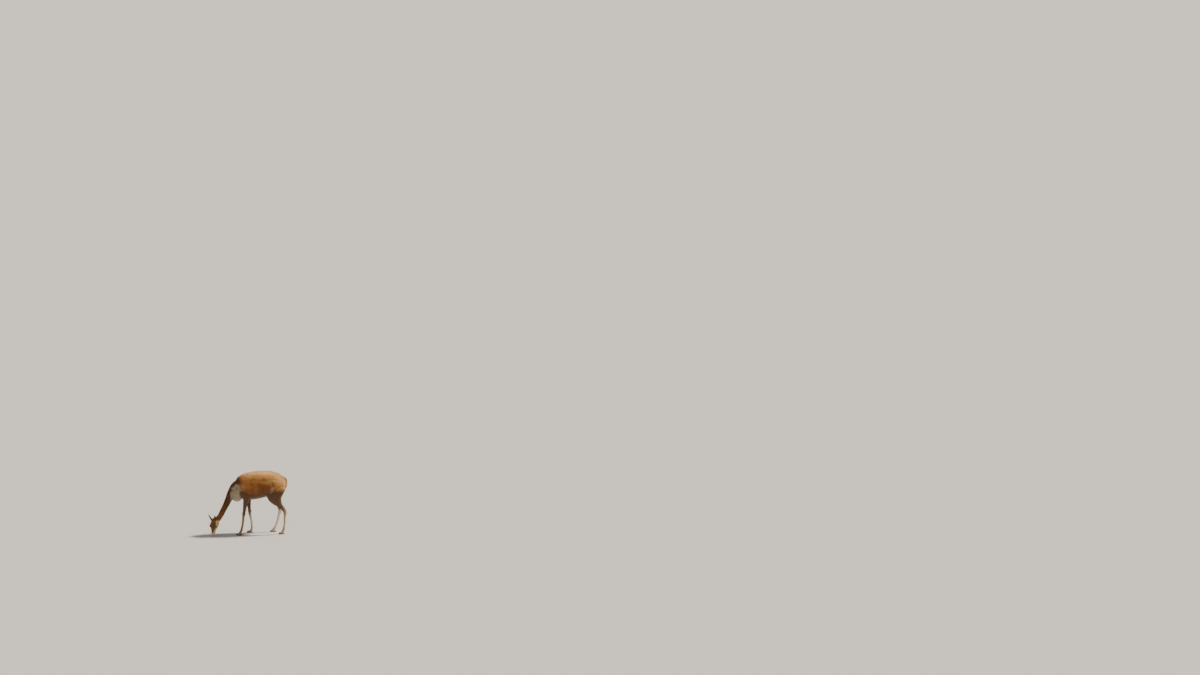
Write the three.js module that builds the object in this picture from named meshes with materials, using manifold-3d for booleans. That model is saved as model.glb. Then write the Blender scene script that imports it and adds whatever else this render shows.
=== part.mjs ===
// A vicuna grazing with its head at the ground, life size, as a still museum model.
// Millimetres, +Z up, nose towards -X, the animal's left side towards -Y.
// The origin is on the floor, at the centre of the animal's box.
import * as THREE from "three";
import { mergeVertices } from "three/addons/utils/BufferGeometryUtils.js";
import Module from "manifold-3d";

const wasm = await Module();
wasm.setup();

// Driving dimensions of the whole animal.
const PART_GAP = 0.3; // between two nodes that touch
const HEAD_LENGTH = 225; // back of the skull to the lips
const MUZZLE_CLEARANCE = 8; // lips above the floor
const EAR_LENGTH = 104;
const EYE_RADIUS = 14;
const FLEECE_RISE = 12; // clump tips above the fleece's core
const STANCE = 86; // middle of the body to the middle of a foot
const FOOT_CUT = 58; // height of the cut between cannon and foot
const FLOOR_FLAT = 3; // how much of each pad the floor takes off

// Body outline with its fleece: place along the body, top, bottom, half width, and how far
// the widest level lies above (+) or below (-) the middle, as a share.
const TORSO = [
  { x: -352, top: 694, bottom: 500, half: 66, egg: 0 },
  { x: -300, top: 750, bottom: 454, half: 101, egg: -0.06 },
  { x: -210, top: 803, bottom: 436, half: 128, egg: -0.14 },
  { x: -100, top: 828, bottom: 440, half: 146, egg: -0.1 },
  { x: 20, top: 836, bottom: 466, half: 152, egg: -0.06 },
  { x: 120, top: 828, bottom: 500, half: 146, egg: 0 },
  { x: 210, top: 799, bottom: 535, half: 130, egg: 0.04 },
  { x: 270, top: 760, bottom: 572, half: 102, egg: 0 },
  { x: 304, top: 722, bottom: 612, half: 60, egg: 0 },
];
const TORSO_SIDES = 20;
const TORSO_STEPS = 2;

// Neck: middle of each section, half depth and half width. The first and last lie inside
// the chest and the skull, and it swings towards the animal's left.
const NECK = [
  { at: [-235, 0, 640], deep: 104, wide: 84 },
  { at: [-320, 0, 608], deep: 98, wide: 78 },
  { at: [-388, -8, 546], deep: 68, wide: 55 },
  { at: [-430, -18, 475], deep: 52, wide: 43 },
  { at: [-471, -32, 396], deep: 45, wide: 38 },
  { at: [-512, -52, 325], deep: 42, wide: 36 },
  { at: [-552, -70, 258], deep: 41, wide: 37 },
  { at: [-608, -85, 202], deep: 36, wide: 34 },
];
const NECK_SIDES = 16;

// Legs: joints in side view, then sections as a share of a bone's length.
const HIND_LEFT = { top: [214, 692], bend: [98, 482], joint: [293, 276], fetlock: [279, 66] };
const HIND_RIGHT = { top: [208, 692], bend: [84, 500], joint: [247, 276], fetlock: [187, 66] };
const FORE_LEFT = { top: [-296, 628], bend: [-208, 506], joint: [-246, 274], fetlock: [-274, 66] };
const FORE_RIGHT = { top: [-288, 628], bend: [-172, 502], joint: [-150, 268], fetlock: [-118, 66] };
const HIND_SECTIONS = [
  { bone: 0, share: 0.0, back: 0, deep: 78, wide: 34, out: 46 },
  { bone: 0, share: 0.42, back: 34, deep: 98, wide: 46, out: 72 },
  { bone: 0, share: 0.94, back: 56, deep: 98, wide: 46, out: 84 },
  { bone: 1, share: 0.24, back: 45, deep: 68, wide: 39, out: 88 },
  { bone: 1, share: 0.5, back: 33, deep: 36, wide: 28, out: 88 },
  { bone: 1, share: 0.77, back: 20, deep: 21, wide: 21, out: 87 },
  { bone: 1, share: 0.96, back: 4, deep: 22, wide: 21, out: 86 },
  { bone: 2, share: 0.1, back: 1, deep: 22, wide: 20, out: 86 },
  { bone: 2, share: 0.27, back: 0, deep: 17, wide: 16, out: 86 },
  { bone: 2, share: 0.6, back: 0, deep: 14, wide: 13, out: 86 },
  { bone: 2, share: 0.87, back: 0, deep: 16, wide: 15, out: 86 },
  { bone: 2, share: 1.0, back: -2, deep: 19, wide: 18, out: 86 },
  { bone: 2, share: 1.13, back: -14, deep: 17, wide: 18, out: 86 },
  { bone: 2, share: 1.24, back: -26, deep: 16, wide: 20, out: 86 },
];
const FORE_SECTIONS = [
  { bone: 0, share: 0.0, back: 24, deep: 70, wide: 34, out: 38 },
  { bone: 0, share: 0.6, back: 10, deep: 72, wide: 40, out: 70 },
  { bone: 1, share: 0.1, back: 2, deep: 50, wide: 35, out: 84 },
  { bone: 1, share: 0.42, back: 0, deep: 33, wide: 27, out: 88 },
  { bone: 1, share: 0.78, back: 0, deep: 23, wide: 21, out: 87 },
  { bone: 1, share: 0.98, back: 0, deep: 24, wide: 22, out: 86 },
  { bone: 2, share: 0.14, back: 0, deep: 19, wide: 18, out: 86 },
  { bone: 2, share: 0.5, back: 0, deep: 14, wide: 13, out: 86 },
  { bone: 2, share: 0.85, back: 0, deep: 16, wide: 15, out: 86 },
  { bone: 2, share: 1.0, back: -2, deep: 19, wide: 18, out: 86 },
  { bone: 2, share: 1.13, back: -14, deep: 17, wide: 18, out: 86 },
  { bone: 2, share: 1.24, back: -26, deep: 16, wide: 20, out: 86 },
];
const LEG_SIDES = 10;
const LEG_STEPS = 2;

// Foot: two toes on soft pads, each with a nail.
const TOE_SPREAD = 12.5; // middle of the foot to the middle of a toe
const TOE_SPLAY = 4; // how much further apart the tips are
const TOE = [
  { ahead: -22, high: 13, deep: 9, wide: 8 },
  { ahead: -6, high: 16, deep: 16, wide: 13 },
  { ahead: 24, high: 14, deep: 15, wide: 13.5 },
  { ahead: 44, high: 11, deep: 10, wide: 9 },
];
const NAIL_LENGTH = 22;
const NAIL_HALF = 6;

// Head sections: share of the head's length, top and bottom from its axis, half width, egg.
const HEAD = [
  { share: 0.0, top: 32, bottom: -40, half: 36, egg: 0 },
  { share: 0.12, top: 47, bottom: -58, half: 46, egg: 0 },
  { share: 0.25, top: 53, bottom: -68, half: 49, egg: 0.06 },
  { share: 0.37, top: 54, bottom: -67, half: 51, egg: 0.2 },
  { share: 0.48, top: 50, bottom: -56, half: 49, egg: 0.26 },
  { share: 0.58, top: 41, bottom: -46, half: 38, egg: 0.1 },
  { share: 0.7, top: 31, bottom: -39, half: 29, egg: 0 },
  { share: 0.82, top: 24, bottom: -35, half: 25.5, egg: -0.06 },
  { share: 0.91, top: 20, bottom: -33, half: 26.5, egg: -0.08 },
  { share: 0.97, top: 12, bottom: -26, half: 21, egg: 0 },
];
const HEAD_SIDES = 18;
const HEAD_STEPS = 2;
const SKULL_AT = [-615, -85]; // middle of the back of the skull, seen from above
const FACE_TURN = 45; // degrees that the face turns towards the animal's left
const MUZZLE_FORWARD = [-0.19, -0.08]; // lean of the head's axis from straight down
const EYE_AT = [104, 38.5, 20]; // along the head, out to the side, up from the axis
const EYE_ROUND = [12, 7]; // facets of an eyeball, around and from pole to pole
const EAR_AT = [26, 30, 34];
// Ear sections: share of its length, half thickness, half width.
const EAR_OUTSIDE = [[-0.1, 11, 12], [0.1, 13, 15], [0.35, 13, 19], [0.6, 10, 16], [0.85, 6, 8], [1, 2.5, 2.5]];
const EAR_INSIDE = [[0.1, 8, 9], [0.25, 11, 14.5], [0.45, 11, 15.5], [0.65, 9, 12], [0.9, 4, 4]];

// Clumps of the fleece: sizes, how deep their roots go, and how far their free ends lift.
const CLUMP = { length: 126, width: 102, rise: 15, root: 11, lift: 0.2, sides: 7 };
const CLUMP_PITCH = { along: 101, around: 95 };
const FLEECE_FROM = -332; // where the fleece starts behind the neck
const FLEECE_LOW = { chest: 560, flank: 528, thigh: 566 }; // its lower edge

// Forms of the long hair, out to its tips: the chest bib and the tail.
const BIB = [
  { x: -300, y: 0, z: 640, deep: 30, wide: 44, egg: 0 },
  { x: -318, y: -2, z: 594, deep: 58, wide: 70, egg: 0 },
  { x: -326, y: -3, z: 540, deep: 70, wide: 80, egg: 0 },
  { x: -326, y: -3, z: 492, deep: 70, wide: 72, egg: 0 },
  { x: -324, y: -3, z: 456, deep: 62, wide: 56, egg: 0 },
  { x: -324, y: -3, z: 434, deep: 50, wide: 40, egg: 0 },
];
const TAIL = [
  { x: 274, y: 0, z: 726, deep: 16, wide: 22, egg: 0 },
  { x: 303, y: 0, z: 712, deep: 20, wide: 27, egg: 0 },
  { x: 315, y: 0, z: 678, deep: 20, wide: 30, egg: 0 },
  { x: 313, y: 0, z: 636, deep: 19, wide: 29, egg: 0 },
  { x: 305, y: 0, z: 594, deep: 15, wide: 22, egg: 0 },
  { x: 296, y: 0, z: 562, deep: 8, wide: 10, egg: 0 },
];

// Locks of the long hair. A row gives where its roots and tips lie along the form, as shares,
// how many locks it has, and the arc that they stand on, in degrees from the animal's right.
const BIB_HAIR = { width: 42, thick: 13, sink: 1.5, flare: 5, inset: 8, core: 0.6 };
const BIB_ROWS = [
  { root: 0.12, tip: 0.66, count: 5, arc: [-30, 210] },
  { root: 0.34, tip: 0.9, count: 7, arc: [-50, 230] },
  { root: 0.5, tip: 1.06, count: 9, arc: [-170, 190] },
];
const TAIL_HAIR = { width: 32, thick: 9, sink: 3.5, flare: 3, inset: 4, core: 0.66 };
const TAIL_ROWS = [
  { root: 0.16, tip: 0.6, count: 2, arc: [0, 180] },
  { root: 0.42, tip: 0.84, count: 2, arc: [-20, 200] },
  { root: 0.6, tip: 0.98, count: 3, arc: [0, 180] },
];
const HAIR_ROOM = 2.4; // kept free round the long hair's form
const HAIR_SEED = 7;

const COLOURS = {
  fleece: { color: 0xb9824a, roughness: 0.95 },
  neck: { color: 0xb07a46, roughness: 0.95 },
  pale: { color: 0xe6dcc8, roughness: 0.95 },
  face: { color: 0x8f6a44, roughness: 0.9 },
  leg: { color: 0xcdae84, roughness: 0.92 },
  eye: { color: 0x120c08, roughness: 0.1 },
  nail: { color: 0x2d2621, roughness: 0.5 },
};

const mix = (a, b, t) => a + (b - a) * t;
const vector = (x, y, z) => new THREE.Vector3(x, y, z);

// A closed solid from points and triangles, turned to face outwards.
function solidOf(points, triangles) {
  const build = (order) =>
    new wasm.Manifold(
      new wasm.Mesh({
        numProp: 3,
        vertProperties: new Float32Array(points.flatMap((p) => [p.x, p.y, p.z])),
        triVerts: new Uint32Array(order.flat()),
      }),
    );
  const made = build(triangles);
  return made.volume() < 0 ? build(triangles.map(([a, b, c]) => [a, c, b])) : made;
}

// The solid of one of three.js's own closed geometries.
function solidOfGeometry(geometry) {
  geometry.deleteAttribute("normal");
  geometry.deleteAttribute("uv");
  const merged = mergeVertices(geometry, 1e-4);
  const place = merged.getAttribute("position");
  const points = Array.from({ length: place.count }, (_, i) =>
    vector(place.getX(i), place.getY(i), place.getZ(i)),
  );
  const index = Array.from(merged.index.array);
  const triangles = Array.from({ length: index.length / 3 }, (_, i) => index.slice(3 * i, 3 * i + 3));
  return solidOf(points, triangles);
}

// Numbers from 0 to 1 that are the same in every run.
function randomFrom(seed) {
  let state = seed;
  return () => {
    state = (state * 1664525 + 1013904223) % 4294967296;
    return state / 4294967296;
  };
}

const join = (solids) => wasm.Manifold.union(solids);

// Keeps the largest closed surface, which drops loose scraps.
function largest(solid) {
  const bodies = solid.decompose();
  return bodies.reduce((best, body) => (body.volume() > best.volume() ? body : best));
}

// A large box whose one face lies on a plane: everything ahead of it along the normal.
function halfSpace(point, normal, shift = 0) {
  const size = 3000;
  const way = vector(...normal).normalize();
  const box = new THREE.BoxGeometry(size, size, size);
  box.applyQuaternion(new THREE.Quaternion().setFromUnitVectors(vector(0, 0, 1), way));
  const middle = vector(...point).addScaledVector(way, size / 2 + shift);
  box.translate(middle.x, middle.y, middle.z);
  return solidOfGeometry(box);
}

// Both sides of a cut, PART_GAP apart: [behind the plane, ahead of it].
function parted(solid, point, normal) {
  const back = normal.map((n) => -n);
  return [
    solid.intersect(halfSpace(point, back, PART_GAP / 2)),
    solid.intersect(halfSpace(point, normal, PART_GAP / 2)),
  ];
}

// Sections between the given ones, each number following a Catmull-Rom curve.
function between(sections, steps) {
  const keys = Object.keys(sections[0]);
  const at = (i) => sections[Math.min(Math.max(i, 0), sections.length - 1)];
  const curve = (a, b, c, d, t) =>
    0.5 * (2 * b + (c - a) * t + (2 * a - 5 * b + 4 * c - d) * t * t + (3 * b - 3 * c + d - a) * t * t * t);
  const made = [];
  for (let i = 0; i < sections.length - 1; i++)
    for (let k = 0; k < steps; k++) {
      const [a, b, c, d] = [at(i - 1), at(i), at(i + 1), at(i + 2)];
      made.push(Object.fromEntries(keys.map((key) => [key, curve(a[key], b[key], c[key], d[key], k / steps)])));
    }
  made.push(Object.fromEntries(keys.map((key) => [key, at(sections.length - 1)[key]])));
  return made;
}

// The frames of a lofted form: each section's middle, its side and top directions and sizes.
// A section is { x, y, z, deep, wide, egg }, and side is the direction of its width.
function framesOf(sections, side) {
  const middle = sections.map((s) => vector(s.x, s.y, s.z));
  return sections.map((s, i) => {
    const next = middle[Math.min(i + 1, middle.length - 1)];
    const way = next.clone().sub(middle[Math.max(i - 1, 0)]).normalize();
    const wide = side.clone().addScaledVector(way, -side.dot(way)).normalize();
    return { at: middle[i], way, wide, top: way.clone().cross(wide), size: s };
  });
}

// A point of a section at an angle from its side, moved out by grow.
function onSection(frame, angle, grow = 0) {
  const { deep, wide, egg } = frame.size;
  const across = (wide + grow) * Math.cos(angle) * (1 + egg * Math.sin(angle));
  const up = (deep + grow) * Math.sin(angle);
  return frame.at.clone().addScaledVector(frame.wide, across).addScaledVector(frame.top, up);
}

// A closed form through the sections, with low domes at its two ends.
function lofted(frames, sides, grow = 0, dome = 0.35) {
  const points = [];
  frames.forEach((f) => {
    for (let k = 0; k < sides; k++) points.push(onSection(f, (2 * Math.PI * k) / sides, grow));
  });
  const triangles = [];
  for (let i = 0; i < frames.length - 1; i++)
    for (let k = 0; k < sides; k++) {
      const a = i * sides + k;
      const b = i * sides + ((k + 1) % sides);
      triangles.push([a, b, b + sides], [a, b + sides, a + sides]);
    }
  const close = (frame, first, sign) => {
    const reach = dome * Math.min(frame.size.deep, frame.size.wide) + grow;
    points.push(frame.at.clone().addScaledVector(frame.way, sign * reach));
    const pole = points.length - 1;
    for (let k = 0; k < sides; k++) {
      const next = first + ((k + 1) % sides);
      triangles.push(sign < 0 ? [pole, next, first + k] : [pole, first + k, next]);
    }
  };
  close(frames[0], 0, -1);
  close(frames.at(-1), (frames.length - 1) * sides, 1);
  return solidOf(points, triangles);
}

// Torso, without the rise of its clumps.
function torsoFrames() {
  const sections = TORSO.map((s) => ({
    x: s.x,
    y: 0,
    z: (s.top + s.bottom) / 2,
    deep: (s.top - s.bottom) / 2 - FLEECE_RISE,
    wide: s.half - FLEECE_RISE,
    egg: s.egg,
  }));
  return framesOf(between(sections, TORSO_STEPS), vector(0, 1, 0));
}

function neckFrames() {
  const sections = NECK.map(({ at: [x, y, z], deep, wide }) => ({ x, y, z, deep, wide, egg: 0 }));
  return framesOf(between(sections, 2), vector(0, -1, 0));
}

// Leg sections from its joints. side is -1 on the animal's left.
function legFrames(joints, table, side) {
  const ends = [joints.top, joints.bend, joints.joint, joints.fetlock];
  const sections = table.map(({ bone, share, back, deep, wide, out }) => ({
    x: mix(ends[bone][0], ends[bone + 1][0], share) + back,
    y: side * out,
    z: mix(ends[bone][1], ends[bone + 1][1], share),
    deep,
    wide,
    egg: 0,
  }));
  return framesOf(between(sections, LEG_STEPS), vector(0, 1, 0));
}

// The cord from the gaskin to the point of the hock, which stands out behind the joint.
function hockPoint(joints, side) {
  const [x, z] = joints.joint;
  const sections = [
    { x: x - 34, y: side * 87, z: z + 96, deep: 15, wide: 13, egg: 0 },
    { x: x + 2, y: side * 86, z: z + 46, deep: 9, wide: 8, egg: 0 },
    { x: x + 15, y: side * 86, z: z + 8, deep: 12, wide: 11, egg: 0 },
    { x: x + 9, y: side * 86, z: z - 24, deep: 10, wide: 11, egg: 0 },
  ];
  return lofted(framesOf(sections, vector(0, 1, 0)), 8);
}

// One toe from heel to tip. Its inner side faces the other toe.
function toe(joints, side, inner, grow = 0) {
  const x = joints.fetlock[0] - 14;
  const sections = TOE.map((t, i) => ({
    x: x - t.ahead,
    y: side * STANCE + inner * (TOE_SPREAD + (TOE_SPLAY * i) / (TOE.length - 1)),
    z: t.high - FLOOR_FLAT,
    deep: t.deep,
    wide: t.wide,
    egg: -0.1,
  }));
  return lofted(framesOf(sections, vector(0, -1, 0)), 8, grow, 0.6);
}

// A nail, pointed ahead and down, with its root in the toe.
function nail(joints, side, inner, grow = 0) {
  const tip = TOE.at(-1);
  const x = joints.fetlock[0] - 14 - tip.ahead;
  const y = side * STANCE + inner * (TOE_SPREAD + TOE_SPLAY);
  const sections = [
    { x: x + NAIL_LENGTH * 0.5, y, z: 15.5, deep: NAIL_HALF, wide: NAIL_HALF, egg: 0.1 },
    { x: x - NAIL_LENGTH * 0.05, y, z: 12.5, deep: NAIL_HALF, wide: NAIL_HALF, egg: 0.1 },
    { x: x - NAIL_LENGTH * 0.5, y, z: 5, deep: NAIL_HALF * 0.35, wide: NAIL_HALF * 0.4, egg: 0 },
  ];
  return lofted(framesOf(sections, vector(0, -1, 0)), 8, grow, 0.6);
}

// The head's own frame: X to the lips, Y to the animal's left, Z to the forehead.
const turn = THREE.MathUtils.degToRad(FACE_TURN);
const headWay = vector(...MUZZLE_FORWARD, -1).normalize();
const headTop = vector(-Math.cos(turn), -Math.sin(turn), 0);
headTop.addScaledVector(headWay, -headTop.dot(headWay)).normalize();
const headSide = headTop.clone().cross(headWay);
const headPlace = vector(...SKULL_AT, MUZZLE_CLEARANCE - headWay.z * HEAD_LENGTH);
const headMatrix = new THREE.Matrix4().makeBasis(headWay, headSide, headTop).setPosition(headPlace);
const placedOnHead = (solid) => solid.transform(headMatrix.elements);

function headForm(grow = 0) {
  const sections = HEAD.map((s) => ({
    x: s.share * HEAD_LENGTH,
    y: 0,
    z: (s.top + s.bottom) / 2,
    deep: (s.top - s.bottom) / 2,
    wide: s.half,
    egg: s.egg,
  }));
  return lofted(framesOf(between(sections, HEAD_STEPS), vector(0, 1, 0)), HEAD_SIDES, grow, 0.3);
}

// An ellipsoid with the given half sizes, turned about Z by yaw and then about X by roll.
function ellipsoid(at, half, round = [14, 9], turned = [0, 0, 0]) {
  const ball = new THREE.SphereGeometry(1, ...round);
  ball.scale(...half);
  ball.applyQuaternion(new THREE.Quaternion().setFromEuler(new THREE.Euler(...turned)));
  ball.translate(...at);
  return solidOfGeometry(ball);
}

// The almond between the lids, as a long prism out to the side.
function lidOpening(side) {
  const outline = new THREE.Shape();
  outline.moveTo(-15, -2);
  outline.quadraticCurveTo(-1, 19, 15, -1);
  outline.quadraticCurveTo(0, -17, -15, -2);
  const prism = new THREE.ExtrudeGeometry(outline, { depth: 40, bevelEnabled: false, curveSegments: 5 });
  prism.rotateX(Math.PI / 2);
  if (side > 0) prism.translate(0, 40, 0);
  prism.translate(EYE_AT[0], side * (EYE_AT[1] + 4), EYE_AT[2]);
  return solidOfGeometry(prism);
}

// The groove between the lips: a thin curved plate that stops short of the mouth's middle.
function mouthGroove() {
  const line = new THREE.Shape();
  line.moveTo(168, -17);
  line.quadraticCurveTo(190, -10, 212, -13);
  line.lineTo(250, -18);
  line.lineTo(250, -20.2);
  line.lineTo(212, -15.2);
  line.quadraticCurveTo(190, -12.2, 168, -17.4);
  const plate = new THREE.ExtrudeGeometry(line, { depth: 100, bevelEnabled: false, curveSegments: 5 });
  plate.rotateX(Math.PI / 2);
  plate.translate(0, 50, 0);
  return solidOfGeometry(plate).subtract(headForm(-4));
}

// Head with brows, cheeks, nostrils, split lip, mouth line, lids and eye sockets.
function headSolid() {
  const extras = [];
  const cuts = [mouthGroove()];
  const lipMiddle = HEAD_LENGTH * 0.985;
  for (const side of [-1, 1]) {
    const [ex, ey, ez] = EYE_AT;
    extras.push(ellipsoid([ex - 2, side * (ey - 1), ez + 2], [22, 16, 20], [14, 9]));
    extras.push(ellipsoid([HEAD_LENGTH * 0.935, side * 9, -4], [15, 14, 13], [10, 7]));
    extras.push(ellipsoid([HEAD_LENGTH * 0.9, side * 12, 9], [14, 8, 8.5], [10, 6]));
    cuts.push(lidOpening(side));
    cuts.push(ellipsoid([ex, side * ey, ez], Array(3).fill(EYE_RADIUS + PART_GAP), EYE_ROUND));
    cuts.push(ellipsoid([HEAD_LENGTH * 0.935, side * 20, 9], [9, 7, 2.4], [8, 5], [0, -0.5, side * 0.5]));
  }
  cuts.push(ellipsoid([lipMiddle + 7, 0, 2], [8, 1.6, 15], [8, 6]));
  return join([headForm(), ...extras]).subtract(join(cuts));
}

// An ear: a narrow pointed leaf, hollowed into a cup that opens ahead and out to the side.
function ear(side) {
  const lean = vector(-0.7, side * 0.27, 0.66).normalize();
  const facing = vector(0.6, side * 0.58, 0.4).normalize();
  const leaf = (parts, shift) =>
    parts.map(([share, deep, wide]) => ({
      x: lean.x * share * EAR_LENGTH + facing.x * shift,
      y: lean.y * share * EAR_LENGTH + facing.y * shift + side * 3 * Math.sin(Math.PI * share),
      z: lean.z * share * EAR_LENGTH + facing.z * shift,
      deep,
      wide,
      egg: 0,
    }));
  const across = lean.clone().cross(facing).normalize();
  const outer = leaf(EAR_OUTSIDE, 0);
  const inner = leaf(EAR_INSIDE, 8);
  const cup = lofted(framesOf(outer, across), 12).subtract(lofted(framesOf(inner, across), 10));
  return cup.translate([EAR_AT[0], side * EAR_AT[1], EAR_AT[2]]);
}

// A rounded clump of wool: a low dome on the core, narrower and lifted at its free end. lie is
// the way that the wool lies.
function clump(at, normal, lie, scale) {
  const across = normal.clone().cross(lie).normalize();
  const place = (x, y, z) =>
    at
      .clone()
      .addScaledVector(lie, (x * scale * CLUMP.length) / 2)
      .addScaledVector(across, (y * scale * CLUMP.width * (1 - 0.3 * x)) / 2)
      .addScaledVector(normal, z > 0 ? (z + CLUMP.lift * x) * CLUMP.rise * scale : z * CLUMP.root);
  const ring = (radius, height) =>
    Array.from({ length: CLUMP.sides }, (_, k) => {
      const angle = (2 * Math.PI * k) / CLUMP.sides;
      return place(radius * Math.cos(angle), radius * Math.sin(angle), height);
    });
  const points = [place(0.1, 0, 1), ...ring(0.62, 0.78), ...ring(1, -0.4), place(0, 0, -1.2)];
  const triangles = [];
  for (let k = 0; k < CLUMP.sides; k++) {
    const a = 1 + k;
    const b = 1 + ((k + 1) % CLUMP.sides);
    const low = CLUMP.sides;
    triangles.push([0, a, b], [a, a + low, b + low], [a, b + low, b], [2 * low + 1, b + low, a + low]);
  }
  return solidOf(points, triangles);
}

// Clumps set close over the fleece, in rows round the body and round the rump. Each stands where
// a ray from outside meets the body, with the wool lying back and down.
function fleece(body) {
  const random = randomFrom(HAIR_SEED);
  const jitter = (size) => (random() - 0.5) * 2 * size;
  const caster = new THREE.Raycaster();
  const target = meshOf({ name: "body", colour: "fleece", solid: body });
  const clumps = [];
  const rows = [];
  for (let x = -330; x < 215; x += CLUMP_PITCH.along) rows.push({ x, tilt: 90 });
  rows.push({ x: 208, tilt: 76 }, { x: 208, tilt: 56 }, { x: 208, tilt: 36 });
  rows.forEach(({ x, tilt }, i) => {
    const middle = vector(x, 0, x > 0 ? 650 : 620);
    const around = (angle, slope) =>
      vector(Math.cos(slope), Math.cos(angle) * Math.sin(slope), Math.sin(angle) * Math.sin(slope));
    const girth = 2 * Math.PI * 160 * Math.sin(THREE.MathUtils.degToRad(tilt));
    const count = Math.round(girth / CLUMP_PITCH.around);
    for (let k = 0; k < count; k++) {
      const angle = (2 * Math.PI * (k + (i % 2) / 2 + jitter(0.16))) / count;
      const way = around(angle, THREE.MathUtils.degToRad(tilt + jitter(4)));
      caster.set(middle.clone().addScaledVector(way, 700), way.clone().negate());
      const [hit] = caster.intersectObject(target);
      if (!hit) continue;
      const { point } = hit;
      const low = point.x > 90 ? FLEECE_LOW.thigh : point.x < -230 ? FLEECE_LOW.chest : FLEECE_LOW.flank;
      if (point.z < low || point.x < FLEECE_FROM) continue;
      const normal = hit.face.normal.clone().multiplyScalar(0.6).addScaledVector(way, 0.4).normalize();
      const lie = vector(1, 0, -0.75 + jitter(0.3));
      lie.addScaledVector(normal, -lie.dot(normal)).normalize();
      clumps.push(clump(point, normal, lie, 1 + jitter(0.14)));
    }
  });
  return clumps;
}

// The smooth form of long hair, out to its tips.
function hairForm(sections, grow = 0) {
  return lofted(framesOf(between(sections, 2), vector(0, 1, 0)), 14, grow, 0.2);
}

// Long hair over a form: a smooth core, at most half way out, under rows of flat tapered locks
// that follow the form's surface, bend outwards and overlap.
function shaggy(sections, rows, hair) {
  const random = randomFrom(HAIR_SEED);
  const jitter = (size) => (random() - 0.5) * 2 * size;
  const frames = framesOf(between(sections, 8), vector(0, 1, 0));
  const last = frames.length - 1;
  const span = frames[0].at.distanceTo(frames[last].at);
  const core = frames.filter((_, i) => i % 8 === 0 && i <= hair.core * last);
  const parts = [lofted(core, 10, -hair.inset, 0.3)];
  const on = (share, angle, out) => {
    const frame = frames[Math.round(Math.min(share, 1) * last)];
    return onSection(frame, angle, out).addScaledVector(frame.way, Math.max(share - 1, 0) * span);
  };
  const stations = [
    { t: 0, out: -hair.inset - hair.thick * 0.5, size: 0.75 },
    { t: 0.35, out: -hair.thick * 0.5 - hair.sink, size: 1 },
    { t: 0.7, out: -hair.thick * 0.2 - hair.sink / 2, size: 0.8 },
    { t: 1, out: hair.flare * 0.7, size: 0.16 },
  ];
  rows.forEach(({ root, tip, count, arc }, r) => {
    for (let k = 0; k < count; k++) {
      const share = (k + 0.5 + jitter(0.2)) / count;
      const angle = THREE.MathUtils.degToRad(mix(arc[0], arc[1], share));
      const sway = jitter(0.16);
      const start = root + jitter(0.03);
      const reach = tip - start + jitter(0.06);
      const width = (hair.width / 2) * (1 + jitter(0.15));
      const path = stations.map(({ t, out, size }) => {
        const { x, y, z } = on(start + reach * t, angle + sway * t * t, out - 2 * (r % 2));
        return { x, y, z, deep: (hair.thick / 2) * Math.max(size, 0.3), wide: width * size, egg: 0 };
      });
      const side = on(start, angle + 0.1, 0).sub(on(start, angle - 0.1, 0));
      parts.push(lofted(framesOf(path, side.normalize()), 4, 0, 0.3));
    }
  });
  return join(parts);
}

// The cuts that part a leg from the torso: [a point, the way out of the torso, X range].
const LEG_CUTS = {
  fore: { at: [-210, 100, 466], way: [0, 0.5, -0.87], from: -400, to: -88 },
  hind: { at: [160, 120, 545], way: [0, 0.5, -0.87], from: 58, to: 420 },
};

// The block of space that belongs to one leg, grown by the gap for the torso's side of it.
function legSpace({ at, way, from, to }, side, grow = 0) {
  const slab = new THREE.BoxGeometry(to - from + 2 * grow, 600, 1400);
  slab.translate((from + to) / 2, side * 300.5, 300);
  const plane = halfSpace([at[0], side * at[1], at[2]], [way[0], side * way[1], way[2]], -grow);
  return solidOfGeometry(slab).intersect(plane);
}

const LEGS = [
  { name: "left", kind: "fore", joints: FORE_LEFT, table: FORE_SECTIONS, side: -1 },
  { name: "right", kind: "fore", joints: FORE_RIGHT, table: FORE_SECTIONS, side: 1 },
  { name: "left", kind: "hind", joints: HIND_LEFT, table: HIND_SECTIONS, side: -1 },
  { name: "right", kind: "hind", joints: HIND_RIGHT, table: HIND_SECTIONS, side: 1 },
];

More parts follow.
